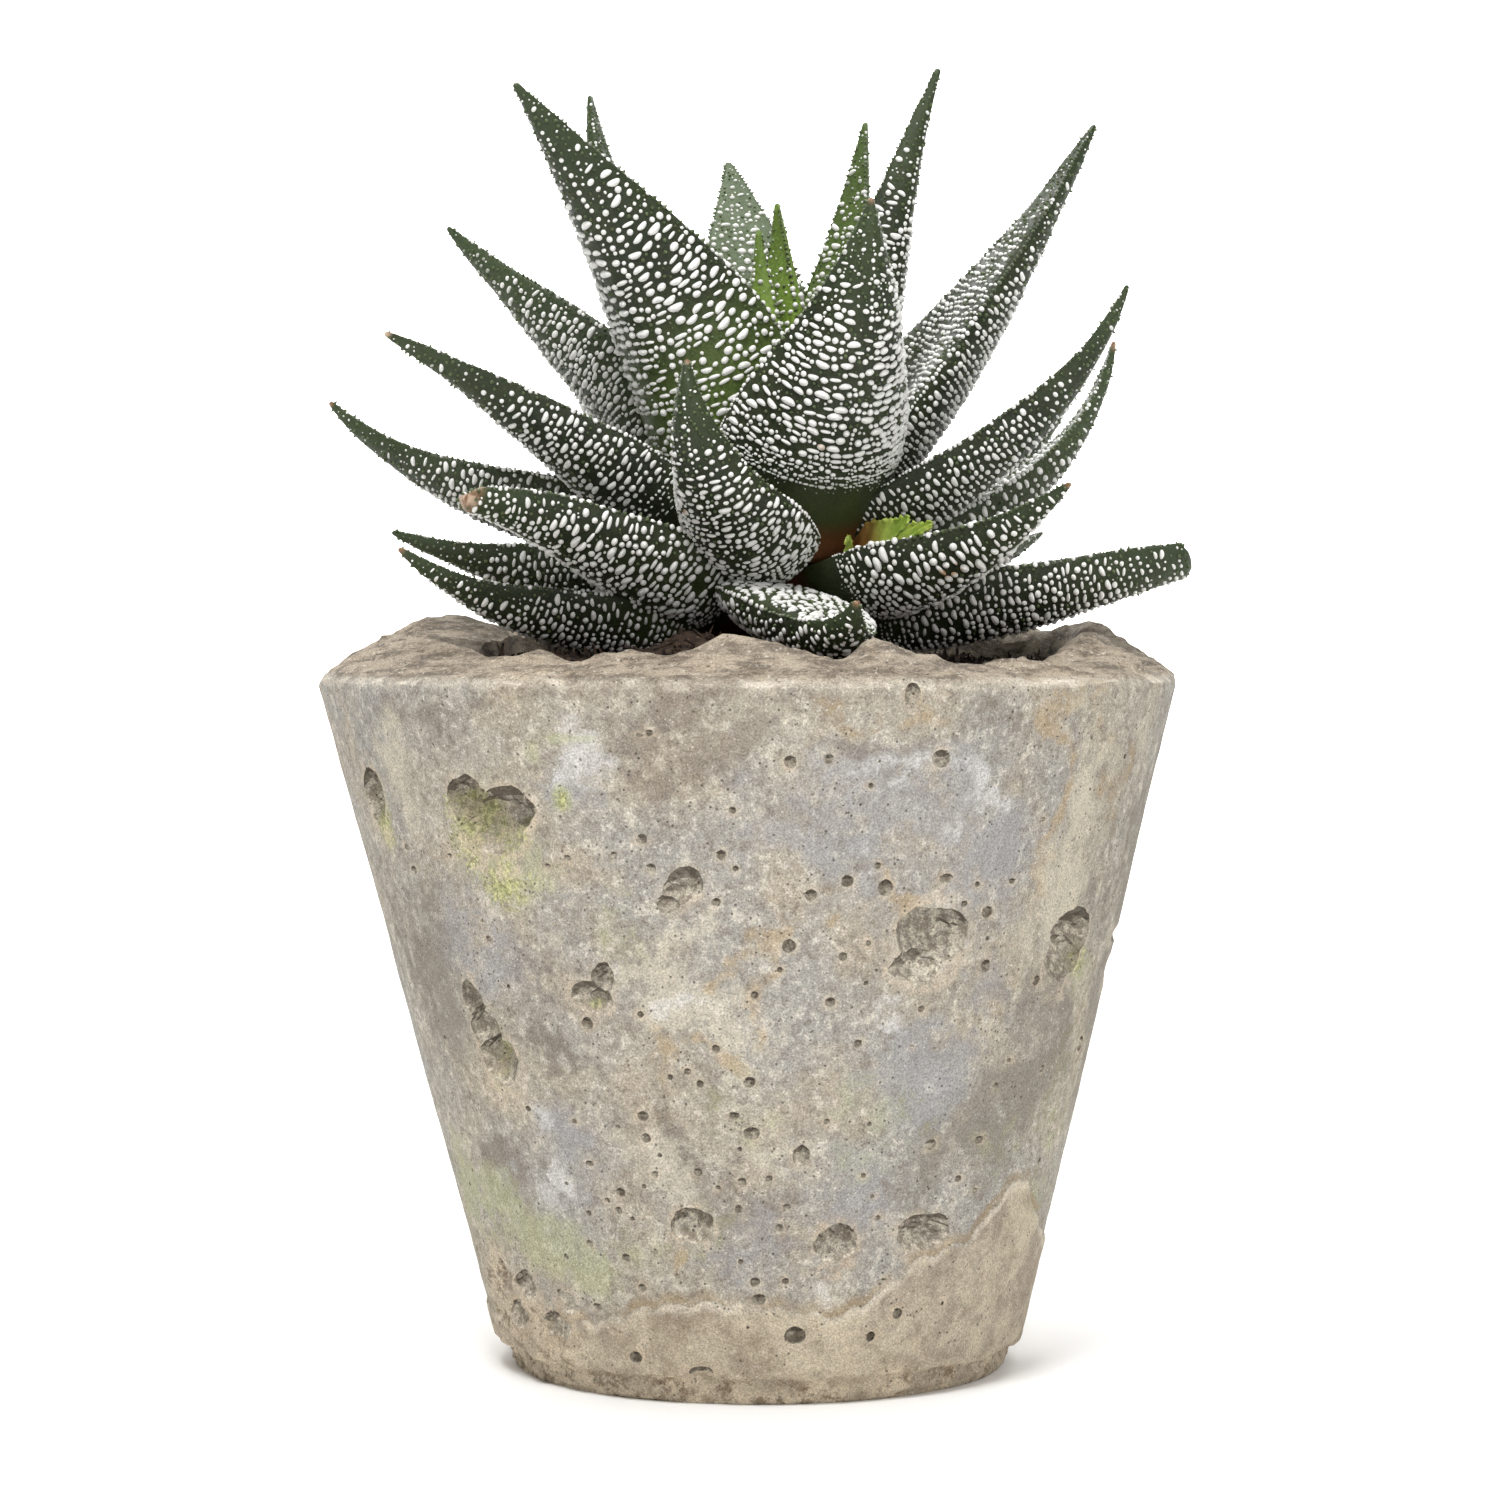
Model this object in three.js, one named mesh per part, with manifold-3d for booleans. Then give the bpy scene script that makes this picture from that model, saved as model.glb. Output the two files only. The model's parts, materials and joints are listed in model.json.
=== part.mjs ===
// A potted haworthia: a rosette of thick, pointed, tubercled leaves in a cast concrete pot.
// Millimetres and degrees, +Z up. The origin is the middle of the pot's flat underside.
// Azimuth 0 is +X, 90 is +Y (away from the front) and 270 is the front.
import * as THREE from 'three';
import Module from 'manifold-3d';

const wasm = await Module();
wasm.setup();

// ---- driving dimensions ----

const potSize = {
  height: 96,            // from the underside to the outer edge of the rim
  rimRadius: 60,
  baseRadius: 22,        // the innermost ring of points of the flat underside
  footRadius: 34.6,
  footFlare: 0.6,
  footHeight: 3.6,
  footStep: 0.4,         // height of the ledge between the foot and the wall
  wallFootRadius: 36.5,  // outside of the wall just above the foot
  wallRows: [34, 66],
  lean: -1.7,            // how far the rim's middle stands to the side of the foot's
  crestRadius: 48.5,     // the rough rim rises from its outer edge to a crest here
  lipRadius: 45.5,
  lumpReach: 12.5,         // at the left back the rim is wider: a lump hangs over the soil there
  lumpAzimuth: 178,
  lumpSpread: 30,
  lumpTop: 90,
  lumpFoot: 76,
  cavityFloorRadius: 26,
  cavityFloor: 14,
  segments: 48,
};

// The rim broke unevenly: azimuth and height of its crest all round. The far side is guessed.
const crest = [
  [0, 103.3], [15, 103.5], [30, 102.8], [60, 102.2], [90, 103], [120, 103.4], [140, 103.2],
  [152, 104.4], [168, 104.7], [180, 104.2], [200, 102], [215, 100.2], [222, 99.5], [231, 99],
  [236, 100], [243, 99.1], [251, 100], [258, 99.8], [263, 100.8], [268, 102.3], [274, 101],
  [280, 99.9], [285, 99.2], [290, 101.9], [296, 100.5], [303, 98.5], [310, 98.2], [318, 98.8],
  [324, 98.2], [335, 100.5], [348, 102.6], [360, 103.3],
];

const soilSize = {
  top: 98.2,
  clearance: 0.6,        // between the soil's corners and the wall of the cavity
  shoulder: 1.6,         // how far the soil's top drops at its edge
  rings: [36, 26, 15],
  stemHoleRadius: 6.6,
  stemHoleFloor: 86,
};

const stemSize = {
  foot: 86.4,
  top: 127,
  radius: 6.2,
  shoulder: 100,         // the stem tapers from here up
  topRadius: 1.6,
  segments: 16,
};

const plantAxis = { x: 2, y: 0 };   // the rosette grows a little to the side of the pot's middle
const leafGap = 0.35;               // left between leaves that lie on each other

const leafForm = {
  around: 12,            // points round a section
  rowPitch: 5.3,         // between sections, along the leaf
  rootReach: 0.07,       // share of the length by which the root runs back towards the stem
  handle: 0.36,          // share of the chord for each control arm of the spine
  bareBase: 0.14,        // the first part of a leaf has no tubercles
  tubercleRise: 0.75,
  tubercleDip: 0.12,
  tipWidth: 1.3,
  taper: 0.95,           // power by which the outline narrows towards the tip
  waistEnd: 0.42,        // the outline draws in below here, towards the root
  waistDepth: 0.42,
  widest: 0.735,         // what the outline's formula gives where the leaf is widest
  rootKeel: 0.54,        // depth of the keel at the root, as a share of the half-width
  keelGrowth: 0.34,      // and what it gains
  keelEnd: 0.6,          // by here
  hollow: 0.28,
  crown: 0.12,
};

// Each leaf: azimuth, radius and height of its root, rise of its root, tip, rise at the tip,
// width, roll about its own length, the share of the length lost at a dead, blunt tip, and the
// hollow of its upper side (1 as on most leaves, below 0 swollen).
// The order is from the heart of the rosette outwards.
const leaves = [
  { az: 40, r: 2, h: 126, rise: 86, tip: [2.5, 2, 162.5], end: 84, width: 14 },
  { az: 220, r: 2, h: 126, rise: 86, tip: [-0.2, -3, 158.3], end: 84, width: 11 },
  { az: 40, r: 5, h: 122, rise: 68, tip: [15.2, 12, 175], end: 82, width: 18 },
  { az: 157, r: 5, h: 121, rise: 68, tip: [-24.1, 10, 178.6], end: 86, width: 22 },
  { az: 338, r: 6, h: 120.5, rise: 66, tip: [24.9, -4, 180.5], end: 70, width: 16, roll: -20 },
  { az: 102, r: 8, h: 119, rise: 78, tip: [-4.6, 31, 171.3], end: 46, width: 25 },
  { az: 225, r: 8, h: 118.5, rise: 80, tip: [-32.9, -25, 175.8], end: 50, width: 26, roll: 22 },
  { az: 12, r: 9, h: 119, rise: 54, tip: [47.6, 9, 174.3], end: 62, width: 23, roll: 10 },
  { az: 295, r: 11, h: 117, rise: 66, tip: [14.8, -29, 160.2], end: 90, width: 28 },
  { az: 168, r: 9, h: 120, rise: 58, tip: [-44.3, 9, 159.8], end: 46, width: 24.5, roll: 18 },
  { az: 54, r: 9, h: 116, rise: 46, tip: [30, 44, 147], end: 55, width: 17 },
  { az: 90, r: 10, h: 115, rise: 44, tip: [0, 56, 144], end: 40, width: 18 },
  { az: 130, r: 11, h: 114.5, rise: 46, tip: [-30, 44, 146], end: 50, width: 18 },
  { az: 206, r: 12, h: 114, rise: 38, tip: [-50.4, -24, 142.6], end: 26, width: 19, roll: 4 },
  { az: 345, r: 9, h: 113.5, rise: 30, tip: [50.3, -13, 149.9], end: 68, width: 18 },
  { az: 262, r: 9, h: 112, rise: -2, tip: [-9.6, -35, 138.4], end: 100, width: 18.5 },
  { az: 32, r: 10, h: 112, rise: 24, tip: [46, 32, 137], end: 50, width: 17 },
  { az: 184, r: 10, h: 112, rise: 22, tip: [-60.2, 0, 134.6], end: 46, width: 21, roll: 10 },
  { az: 6, r: 10, h: 109.5, rise: 18, tip: [50.1, 6, 143.5], end: 80, width: 16 },
  { az: 154, r: 10, h: 110, rise: 14, tip: [-44, 30, 124], end: 20, width: 17 },
  { az: 325, r: 9, h: 107.2, rise: 7, tip: [41.3, -30, 122.3], end: 36, width: 19.5, roll: -6 },
  { az: 72, r: 10, h: 108, rise: 12, tip: [19, 52, 121], end: 24, width: 17 },
  { az: 110, r: 10, h: 107, rise: 12, tip: [-17, 53, 121], end: 26, width: 17 },
  { az: 179, r: 11, h: 106.5, rise: 12, tip: [-51, -6, 116.3], end: 22, width: 19, roll: 14 },
  { az: 38, r: 11, h: 106, rise: 10, tip: [42, 34, 117], end: 25, width: 16 },
  { az: 138, r: 11, h: 105, rise: 10, tip: [-34, 40, 113], end: 22, width: 16 },
  { az: 224, r: 10, h: 105.5, rise: 15, tip: [-39.2, -33, 120], end: 6, width: 20, roll: 6, blunt: 0.18 },
  { az: 204, r: 11, h: 102.5, rise: 3, tip: [-48.3, -27, 113.7], end: 36, width: 18, roll: 8 },
  { az: 350, r: 11, h: 103, rise: 4, tip: [59.7, -8, 112.4], end: 12, width: 19, roll: -10, blunt: 0.3 },
  { az: 276, r: 10, h: 105.5, rise: -3, tip: [12.6, -45, 106.6], end: 56, width: 22, roll: -14, cup: -1 },
];

// ---- small helpers ----

const radians = THREE.MathUtils.degToRad;

function direction(azimuth, elevation) {
  const a = radians(azimuth);
  const e = radians(elevation);
  return new THREE.Vector3(Math.cos(e) * Math.cos(a), Math.cos(e) * Math.sin(a), Math.sin(e));
}

// A closed solid through a list of rings with equal point counts, closed by a point at each end.
// flip(i, j) says on which diagonal the quad after ring i and point j is split.
function ringSolid(rings, first, last, flip = () => false) {
  const n = rings[0].length;
  const points = [first, ...rings.flat(), last];
  const at = (i, j) => 1 + i * n + (j % n);
  const end = points.length - 1;
  const triangles = [];
  for (let j = 0; j < n; j += 1) {
    triangles.push([0, at(0, j + 1), at(0, j)]);
    triangles.push([end, at(rings.length - 1, j), at(rings.length - 1, j + 1)]);
  }
  for (let i = 0; i < rings.length - 1; i += 1) {
    for (let j = 0; j < n; j += 1) {
      const [a, b, c, d] = [at(i, j), at(i, j + 1), at(i + 1, j + 1), at(i + 1, j)];
      if (flip(i, j)) triangles.push([a, b, d], [b, c, d]);
      else triangles.push([a, b, c], [a, c, d]);
    }
  }
  return solid(points, triangles);
}

function solid(points, triangles) {
  const vertProperties = new Float32Array(points.flatMap((p) => [p.x, p.y, p.z]));
  const triVerts = new Uint32Array(triangles.flat());
  return new wasm.Manifold(new wasm.Mesh({ numProp: 3, vertProperties, triVerts }));
}

// The largest body of a solid: what a cut leaves of a thin edge drops off.
function mainBody(cut) {
  const bodies = cut.decompose();
  return bodies.reduce((best, body) => (body.volume() > best.volume() ? body : best));
}

function meshOf(name, body, colour, roughness) {
  const { vertProperties, triVerts } = body.getMesh();
  const geometry = new THREE.BufferGeometry();
  geometry.setAttribute('position', new THREE.BufferAttribute(vertProperties, 3));
  geometry.setIndex(new THREE.BufferAttribute(triVerts, 1));
  geometry.computeVertexNormals();
  const material = new THREE.MeshStandardMaterial({ color: colour, roughness, metalness: 0 });
  const mesh = new THREE.Mesh(geometry, material);
  mesh.name = name;
  return mesh;
}

// ---- the pot ----

const leanAt = (z) => (potSize.lean * z) / potSize.height;

function wallRadius(z) {
  const { wallFootRadius, rimRadius, footHeight, height } = potSize;
  return wallFootRadius + ((rimRadius - wallFootRadius) * (z - footHeight)) / (height - footHeight);
}

function crestHeight(angle) {
  const azimuth = THREE.MathUtils.radToDeg(angle);
  const next = crest.findIndex(([az]) => az > azimuth);
  const [[az0, z0], [az1, z1]] = [crest[next - 1], crest[next]];
  return z0 + ((z1 - z0) * (azimuth - az0)) / (az1 - az0);
}

function lumpAt(angle) {
  const turn = THREE.MathUtils.radToDeg(angle) - potSize.lumpAzimuth;
  return potSize.lumpReach * Math.exp(-((turn / potSize.lumpSpread) ** 2));
}

// Radius of the cavity: a plain cone, but for the lump between its foot and its top.
function cavityRadius(z, angle) {
  const { lipRadius, cavityFloorRadius, cavityFloor, height, lumpFoot, lumpTop } = potSize;
  const rise = (z - cavityFloor) / (height - cavityFloor);
  const cone = THREE.MathUtils.lerp(cavityFloorRadius, lipRadius, rise);
  return cone - lumpAt(angle) * THREE.MathUtils.clamp((z - lumpFoot) / (lumpTop - lumpFoot), 0, 1);
}

function potRing(radiusOf, heightOf) {
  const ring = [];
  for (let j = 0; j < potSize.segments; j += 1) {
    const angle = (2 * Math.PI * j) / potSize.segments;
    const z = heightOf(angle);
    const r = radiusOf(z, angle);
    ring.push(new THREE.Vector3(r * Math.cos(angle) + leanAt(z), r * Math.sin(angle), z));
  }
  return ring;
}

function potShell() {
  const { baseRadius, footRadius, footFlare, footHeight, footStep, wallRows } = potSize;
  const { height, rimRadius, crestRadius, lipRadius, lumpTop, lumpFoot, cavityFloor } = potSize;
  const edge = (angle) => height + 0.3 * Math.sin(11 * angle + 1) + 0.25 * Math.sin(17 * angle);
  const between = (share) => (angle) => edge(angle) + share * (crestHeight(angle) - edge(angle));
  const crestWander = (angle) => crestRadius - 0.3 * lumpAt(angle) + 0.8 * Math.sin(13 * angle);
  const midRim = (angle) => 0.5 * (rimRadius + crestWander(angle));
  const rings = [
    potRing(() => baseRadius, () => 0),
    potRing(() => footRadius, () => 0),
    potRing(() => footRadius + footFlare, () => footHeight),
    potRing(() => wallRadius(footHeight), () => footHeight + footStep),
    ...wallRows.map((row) => potRing(wallRadius, () => row)),
    potRing(wallRadius, edge),
    potRing((z, angle) => midRim(angle), between(0.6)),
    potRing((z, angle) => crestWander(angle), between(1)),
    potRing((z, angle) => lipRadius - lumpAt(angle) + 0.6 * Math.sin(7 * angle), between(0.74)),
    potRing(cavityRadius, () => lumpTop),
    potRing(cavityRadius, () => lumpFoot),
    potRing(cavityRadius, () => cavityFloor),
  ];
  const top = new THREE.Vector3(leanAt(cavityFloor), 0, cavityFloor);
  return ringSolid(rings, new THREE.Vector3(0, 0, 0), top);
}

// Pits where the cast surface trapped air or broke out: azimuth, height, half-sizes across,
// up and into the wall, and a turn in the plane of the wall.
const pits = [
  { az: 206, z: 79.8, across: 1.8, up: 5, deep: 1.8, turn: 8 },
  { az: 232, z: 78.4, across: 6.4, up: 5.6, deep: 4, turn: -15 },
  { az: 260, z: 69.2, across: 2.6, up: 3.4, deep: 2.2, turn: -25 },
  { az: 297, z: 63, across: 5.2, up: 4.6, deep: 3.6, turn: 0 },
  { az: 330.5, z: 60.7, across: 3.4, up: 5, deep: 3.4, turn: -12 },
  { az: 246, z: 56, across: 2.8, up: 3.4, deep: 2.4, turn: 30 },
  { az: 223, z: 49.6, across: 2.8, up: 7.6, deep: 2.8, turn: 24 },
  { az: 258, z: 24.4, across: 2.9, up: 3.3, deep: 2.6, turn: 0 },
  { az: 284.5, z: 21.7, across: 2.6, up: 2.6, deep: 2, turn: 0 },
  { az: 302, z: 22.3, across: 3.2, up: 2.8, deep: 2.4, turn: -20 },
  { az: 222, z: 10, across: 5.4, up: 7.6, deep: 2.8, turn: 12 },
  { az: 20, z: 62, across: 4.4, up: 5.2, deep: 3.4, turn: -10 },
  { az: 75, z: 44, across: 4.8, up: 3.6, deep: 3.2, turn: 35 },
  { az: 118, z: 72, across: 3.8, up: 4.8, deep: 3.4, turn: 5 },
  { az: 160, z: 30, across: 3.4, up: 4.6, deep: 2.8, turn: -30 },
];

// A lumpy pebble with its middle on the wall, to be cut from it.
function pitBlob({ az, z, across, up, deep, turn }) {
  const a = radians(az);
  const r = wallRadius(z);
  const middle = new THREE.Vector3(r * Math.cos(a) + leanAt(z), r * Math.sin(a), z);
  const place = new THREE.Matrix4().makeTranslation(middle);
  place.multiply(new THREE.Matrix4().makeRotationZ(a));
  place.multiply(new THREE.Matrix4().makeRotationX(radians(turn)));
  place.multiply(new THREE.Matrix4().makeScale(deep, across, up));
  const rings = [-0.72, -0.12, 0.55].map((level, i) => {
    const ring = [];
    for (let j = 0; j < 8; j += 1) {
      const b = (2 * Math.PI * (j + 0.5 * (i % 2))) / 8;
      const wide = Math.sqrt(1 - level * level) * (1 + 0.13 * Math.sin(3 * b + az + 2 * i));
      ring.push(new THREE.Vector3(wide * Math.cos(b), wide * Math.sin(b), level).applyMatrix4(place));
    }
    return ring;
  });
  const [low, high] = [-1, 1].map((level) => new THREE.Vector3(0, 0, level).applyMatrix4(place));
  return ringSolid(rings, low, high);
}

function potBody() {
  return pits.reduce((body, pit) => body.subtract(pitBlob(pit)), potShell());
}

// ---- the soil ----

// Mounds and hollows of the soil's top: x, y, radius, height.
const mounds = [
  { x: -10, y: -26, radius: 8, rise: 3.4 },
  { x: -30, y: -22, radius: 9, rise: 1.2 },
  { x: 28, y: -24, radius: 14, rise: -2.2 },
  { x: 8, y: -30, radius: 9, rise: -1.6 },
  { x: -24, y: 26, radius: 12, rise: 1.0 },
  { x: 22, y: 30, radius: 10, rise: 0.8 },
];

function soilHeight(x, y) {
  const grain = 0.25 * Math.sin(0.9 * x + 1) * Math.cos(0.8 * y);
  return mounds.reduce((z, m) => {
    const d2 = ((x - m.x) ** 2 + (y - m.y) ** 2) / m.radius ** 2;
    return z + m.rise * Math.exp(-d2);
  }, soilSize.top + grain);
}

function soilRing(radiusOf, heightOf, centreX) {
  const ring = [];
  for (let j = 0; j < potSize.segments; j += 1) {
    const a = (2 * Math.PI * j) / potSize.segments;
    const r = radiusOf(a);
    const [x, y] = [r * Math.cos(a) + centreX, r * Math.sin(a)];
    ring.push(new THREE.Vector3(x, y, heightOf(x, y)));
  }
  return ring;
}

// The soil's corners face the cavity's, and its faces are split alike, so that none crosses.
function soilBody() {
  const { clearance, shoulder, stemHoleRadius, stemHoleFloor } = soilSize;
  const { cavityFloor, lumpFoot, lumpTop } = potSize;
  const floor = cavityFloor + clearance;
  const atWall = (z) => soilRing((a) => cavityRadius(z, a) - clearance, () => z, leanAt(z));
  const brim = leanAt(lumpTop);
  const rings = [
    ...[floor, lumpFoot, lumpTop].map(atWall),
    soilRing((a) => cavityRadius(lumpTop, a) - 2 * clearance, (x, y) => soilHeight(x, y) - shoulder, brim),
    ...soilSize.rings.map((radius) => soilRing((a) => radius - 0.4 * lumpAt(a), soilHeight, brim)),
    soilRing(() => stemHoleRadius, soilHeight, plantAxis.x),
    soilRing(() => stemHoleRadius, () => stemHoleFloor, plantAxis.x),
  ];
  const bottom = new THREE.Vector3(leanAt(floor), 0, floor);
  const holeFloor = new THREE.Vector3(plantAxis.x, plantAxis.y, stemHoleFloor);
  return ringSolid(rings, bottom, holeFloor, () => true);
}

// ---- the stem ----

function stemBody(grow = 0) {
  const { foot, top, radius, shoulder, topRadius, segments } = stemSize;
  const waist = THREE.MathUtils.lerp(shoulder, top, 0.55);
  const profile = [[radius, foot], [radius, shoulder], [0.72 * radius, waist], [topRadius, top]];
  const rings = profile.map(([r, z]) => {
    const points = [];
    for (let j = 0; j < segments; j += 1) {
      const a = (2 * Math.PI * j) / segments;
      points.push(new THREE.Vector3(
        plantAxis.x + (r + grow) * Math.cos(a), plantAxis.y + (r + grow) * Math.sin(a), z));
    }
    return points;
  });
  const low = new THREE.Vector3(plantAxis.x, plantAxis.y, foot - grow);
  const high = new THREE.Vector3(plantAxis.x, plantAxis.y, top + grow);
  rings[0].forEach((p) => { p.z -= grow; });
  rings[rings.length - 1].forEach((p) => { p.z += grow; });
  return ringSolid(rings, low, high);
}

// ---- the leaves ----

// Half-width of a leaf, as a share of its greatest, from root (0) to tip (1).
function leafOutline(s) {
  const { taper, waistEnd, waistDepth, widest } = leafForm;
  const waist = Math.max(0, 1 - s / waistEnd);
  return ((1 - s) ** taper * (1 - waistDepth * waist * waist)) / widest;
}

// A leaf's section in units of its half-width: hollow or swollen above, keeled below.
function leafSection(q, s, cup) {
  const { rootKeel, keelGrowth, keelEnd, hollow, crown } = leafForm;
  const [x, y] = [Math.cos(q), Math.sin(q)];
  const keel = rootKeel + keelGrowth * Math.min(1, s / keelEnd);
  const middle = 0.5 * (keel - crown) + hollow * cup * (1 - s) * (1 - s) * (x * x - 0.4);
  if (y >= 0) return [x, middle + crown * y * (1 - 0.55 * y * y)];
  return [x, middle - keel * Math.abs(y) ** 1.2];
}

// The spine from root to tip, as a cubic curve that leaves the root at its rise.
function leafSpine(leaf) {
  const outward = direction(leaf.az, 0);
  const root = new THREE.Vector3(plantAxis.x, plantAxis.y, leaf.h).addScaledVector(outward, leaf.r);
  const tip = new THREE.Vector3(...leaf.tip);
  const arm = leafForm.handle * root.distanceTo(tip);
  const first = root.clone().addScaledVector(direction(leaf.az, leaf.rise), arm);
  const heading = THREE.MathUtils.radToDeg(Math.atan2(tip.y - first.y, tip.x - first.x));
  const second = tip.clone().addScaledVector(direction(heading, leaf.end), -arm);
  return new THREE.CubicBezierCurve3(root, first, second, tip);
}

// A leaf. Every other point of its skin is a raised tubercle; grow swells the whole leaf.
function leafSolid(leaf, grow = 0) {
  const { around, rowPitch, rootReach, bareBase, tubercleRise, tubercleDip, tipWidth } = leafForm;
  const spine = leafSpine(leaf);
  const [root, along] = [spine.getPoint(0), spine.getTangent(0)];
  const length = spine.getLength();
  const rows = Math.round(length / rowPitch) + 2;
  const shown = 1 - (leaf.blunt ?? 0);
  const cup = leaf.cup ?? 1;
  const a = radians(leaf.az);
  const across = new THREE.Vector3(-Math.sin(a), Math.cos(a), 0);
  const roll = radians(leaf.roll ?? 0);
  const rings = [];
  for (let i = 0; i < rows; i += 1) {
    const s = -rootReach + ((1 + rootReach) * i) / (rows - 0.6);
    const centre = s > 0 ? spine.getPoint(s) : root.clone().addScaledVector(along, s * length);
    const tangent = s > 0 ? spine.getTangent(s) : along;
    across.addScaledVector(tangent, -tangent.dot(across)).normalize();
    const up = new THREE.Vector3().crossVectors(tangent, across);
    const side = across.clone().multiplyScalar(Math.cos(roll)).addScaledVector(up, Math.sin(roll));
    up.multiplyScalar(Math.cos(roll)).addScaledVector(across, -Math.sin(roll));
    const form = Math.max(0, s) * shown;
    const half = Math.max(tipWidth / 2, (leaf.width / 2) * leafOutline(form));
    const cover = THREE.MathUtils.smoothstep(s, bareBase, bareBase + 0.1) * Math.min(1, half / 3);
    const ring = [];
    for (let j = 0; j < around; j += 1) {
      const q = (2 * Math.PI * j) / around;
      const [x, y] = leafSection(q, form, cup);
      const [x1, y1] = leafSection(q - 0.05, form, cup);
      const [x2, y2] = leafSection(q + 0.05, form, cup);
      const run = Math.hypot(x2 - x1, y2 - y1);
      const bump = cover * ((i + j) % 2 ? tubercleRise : -tubercleDip) + grow;
      ring.push(centre.clone()
        .addScaledVector(side, half * x + (bump * (y2 - y1)) / run)
        .addScaledVector(up, half * y - (bump * (x2 - x1)) / run));
    }
    rings.push(ring);
  }
  const rootPoint = root.clone().addScaledVector(along, -rootReach * length - 0.4 - grow);
  const tipPoint = spine.getPoint(1).addScaledVector(spine.getTangent(1), grow);
  return ringSolid(rings, rootPoint, tipPoint, (i, j) => (i + j) % 2 === 1);
}

// ---- the shoot ----

// A young shoot in the axil between two front leaves: three small toothed leaves on one foot.
const shootLeaves = [
  { az: 318, r: 14, h: 111.5, rise: 45, tip: [20.3, -20, 118], end: 30, width: 7, roll: 70 },
  { az: 312, r: 13.5, h: 110.5, rise: 50, tip: [12, -18, 115.6], end: 60, width: 5, roll: 50 },
  { az: 321, r: 14, h: 112, rise: 30, tip: [23.6, -18, 117], end: 10, width: 5, roll: 70 },
];

function shootSolid() {
  return shootLeaves.map((leaf) => leafSolid(leaf)).reduce((body, leaf) => body.add(leaf));
}

// ---- assembly ----

const group = new THREE.Group();
const stone = 0xb3ada2;
const leafGreen = 0x34402f;
group.add(meshOf('pot', potBody(), stone, 0.9));
group.add(meshOf('soil', soilBody(), 0x2e2119, 0.95));
group.add(meshOf('stem', stemBody(), 0x6f7a45, 0.7));

// Each leaf is cut back to clear the stem and every leaf nearer the heart.
let taken = stemBody(leafGap);
leaves.forEach((leaf, i) => {
  const body = mainBody(leafSolid(leaf).subtract(taken));
  taken = taken.add(leafSolid(leaf, leafGap));
  group.add(meshOf(`leaf_${String(i + 1).padStart(2, '0')}`, body, leafGreen, 0.5));
});
group.add(meshOf('shoot', mainBody(shootSolid().subtract(taken)), 0x8ea043, 0.5));

export default group;
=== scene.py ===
# A potted haworthia in metres: pot, soil, stem, leaves with their tubercles, and a young shoot.
import json
import math
import random
from collections import namedtuple
import bmesh
import bpy
import numpy as np
from mathutils import Matrix, Vector, noise
from mathutils.bvhtree import BVHTree

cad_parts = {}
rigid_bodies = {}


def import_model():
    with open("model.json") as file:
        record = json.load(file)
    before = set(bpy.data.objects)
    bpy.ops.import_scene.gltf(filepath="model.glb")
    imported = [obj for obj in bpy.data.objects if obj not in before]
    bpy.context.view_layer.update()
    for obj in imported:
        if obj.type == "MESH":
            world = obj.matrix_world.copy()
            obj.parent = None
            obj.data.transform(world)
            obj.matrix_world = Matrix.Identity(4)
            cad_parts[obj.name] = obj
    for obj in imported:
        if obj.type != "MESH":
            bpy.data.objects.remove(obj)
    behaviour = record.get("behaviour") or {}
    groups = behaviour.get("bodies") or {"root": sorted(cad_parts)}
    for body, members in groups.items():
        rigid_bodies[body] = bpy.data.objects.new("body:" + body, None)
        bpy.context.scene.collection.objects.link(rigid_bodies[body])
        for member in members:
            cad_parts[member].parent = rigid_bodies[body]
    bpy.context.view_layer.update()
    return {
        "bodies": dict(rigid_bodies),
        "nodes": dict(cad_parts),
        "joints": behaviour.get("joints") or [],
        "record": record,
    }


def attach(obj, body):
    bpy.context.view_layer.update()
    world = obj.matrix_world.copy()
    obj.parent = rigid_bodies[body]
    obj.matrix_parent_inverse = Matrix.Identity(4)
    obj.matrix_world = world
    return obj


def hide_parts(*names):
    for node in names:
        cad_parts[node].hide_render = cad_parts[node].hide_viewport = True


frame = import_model()
scene = bpy.context.scene
MM = 0.001

# ---------------------------------------------------------------------------------------------
# The pot: one casting of sandy concrete, narrow at the foot. The mould trapped air against the
# wall, which left bug holes; the rim was broken off rough and not trimmed. It stands on its foot.

pot = {
    "height": 96, "rim": 60, "foot_height": 3.6, "wall_foot": 36.5, "lean": -1.7,
    "crest": 48.5, "lip": 45.5, "floor_radius": 26, "floor": 14,
    "lump": 12.5, "lump_azimuth": 178, "lump_spread": 30, "lump_top": 90, "lump_foot": 76,
}
# Azimuth and height of the rim's broken crest all round; the far side is guessed.
crest = [
    (0, 103.3), (15, 103.5), (30, 102.8), (60, 102.2), (90, 103), (120, 103.4), (140, 103.2), (152, 104.4),
    (168, 104.7), (180, 104.2), (200, 102), (215, 100.2), (222, 99.5), (231, 99), (236, 100), (243, 99.1),
    (251, 100), (258, 99.8), (263, 100.8), (268, 102.3), (274, 101), (280, 99.9), (285, 99.2), (290, 101.9),
    (296, 100.5), (303, 98.5), (310, 98.2), (318, 98.8), (324, 98.2), (335, 100.5), (348, 102.6),
]
# The flat underside's radii, then the foot ring's radius, height and share of chipping.
underside = (8, 18, 26, 31, 33.4)
foot_ring = [
    (34.0, 0.05, 0.15), (34.45, 0.5, 0.15), (34.75, 1.3, 0.15), (34.9, 2.2, 0.15), (35.0, 3.0, 0.15),
    (35.3, 3.55, 0.2), (36.2, 3.75, 0.2),
]
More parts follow.
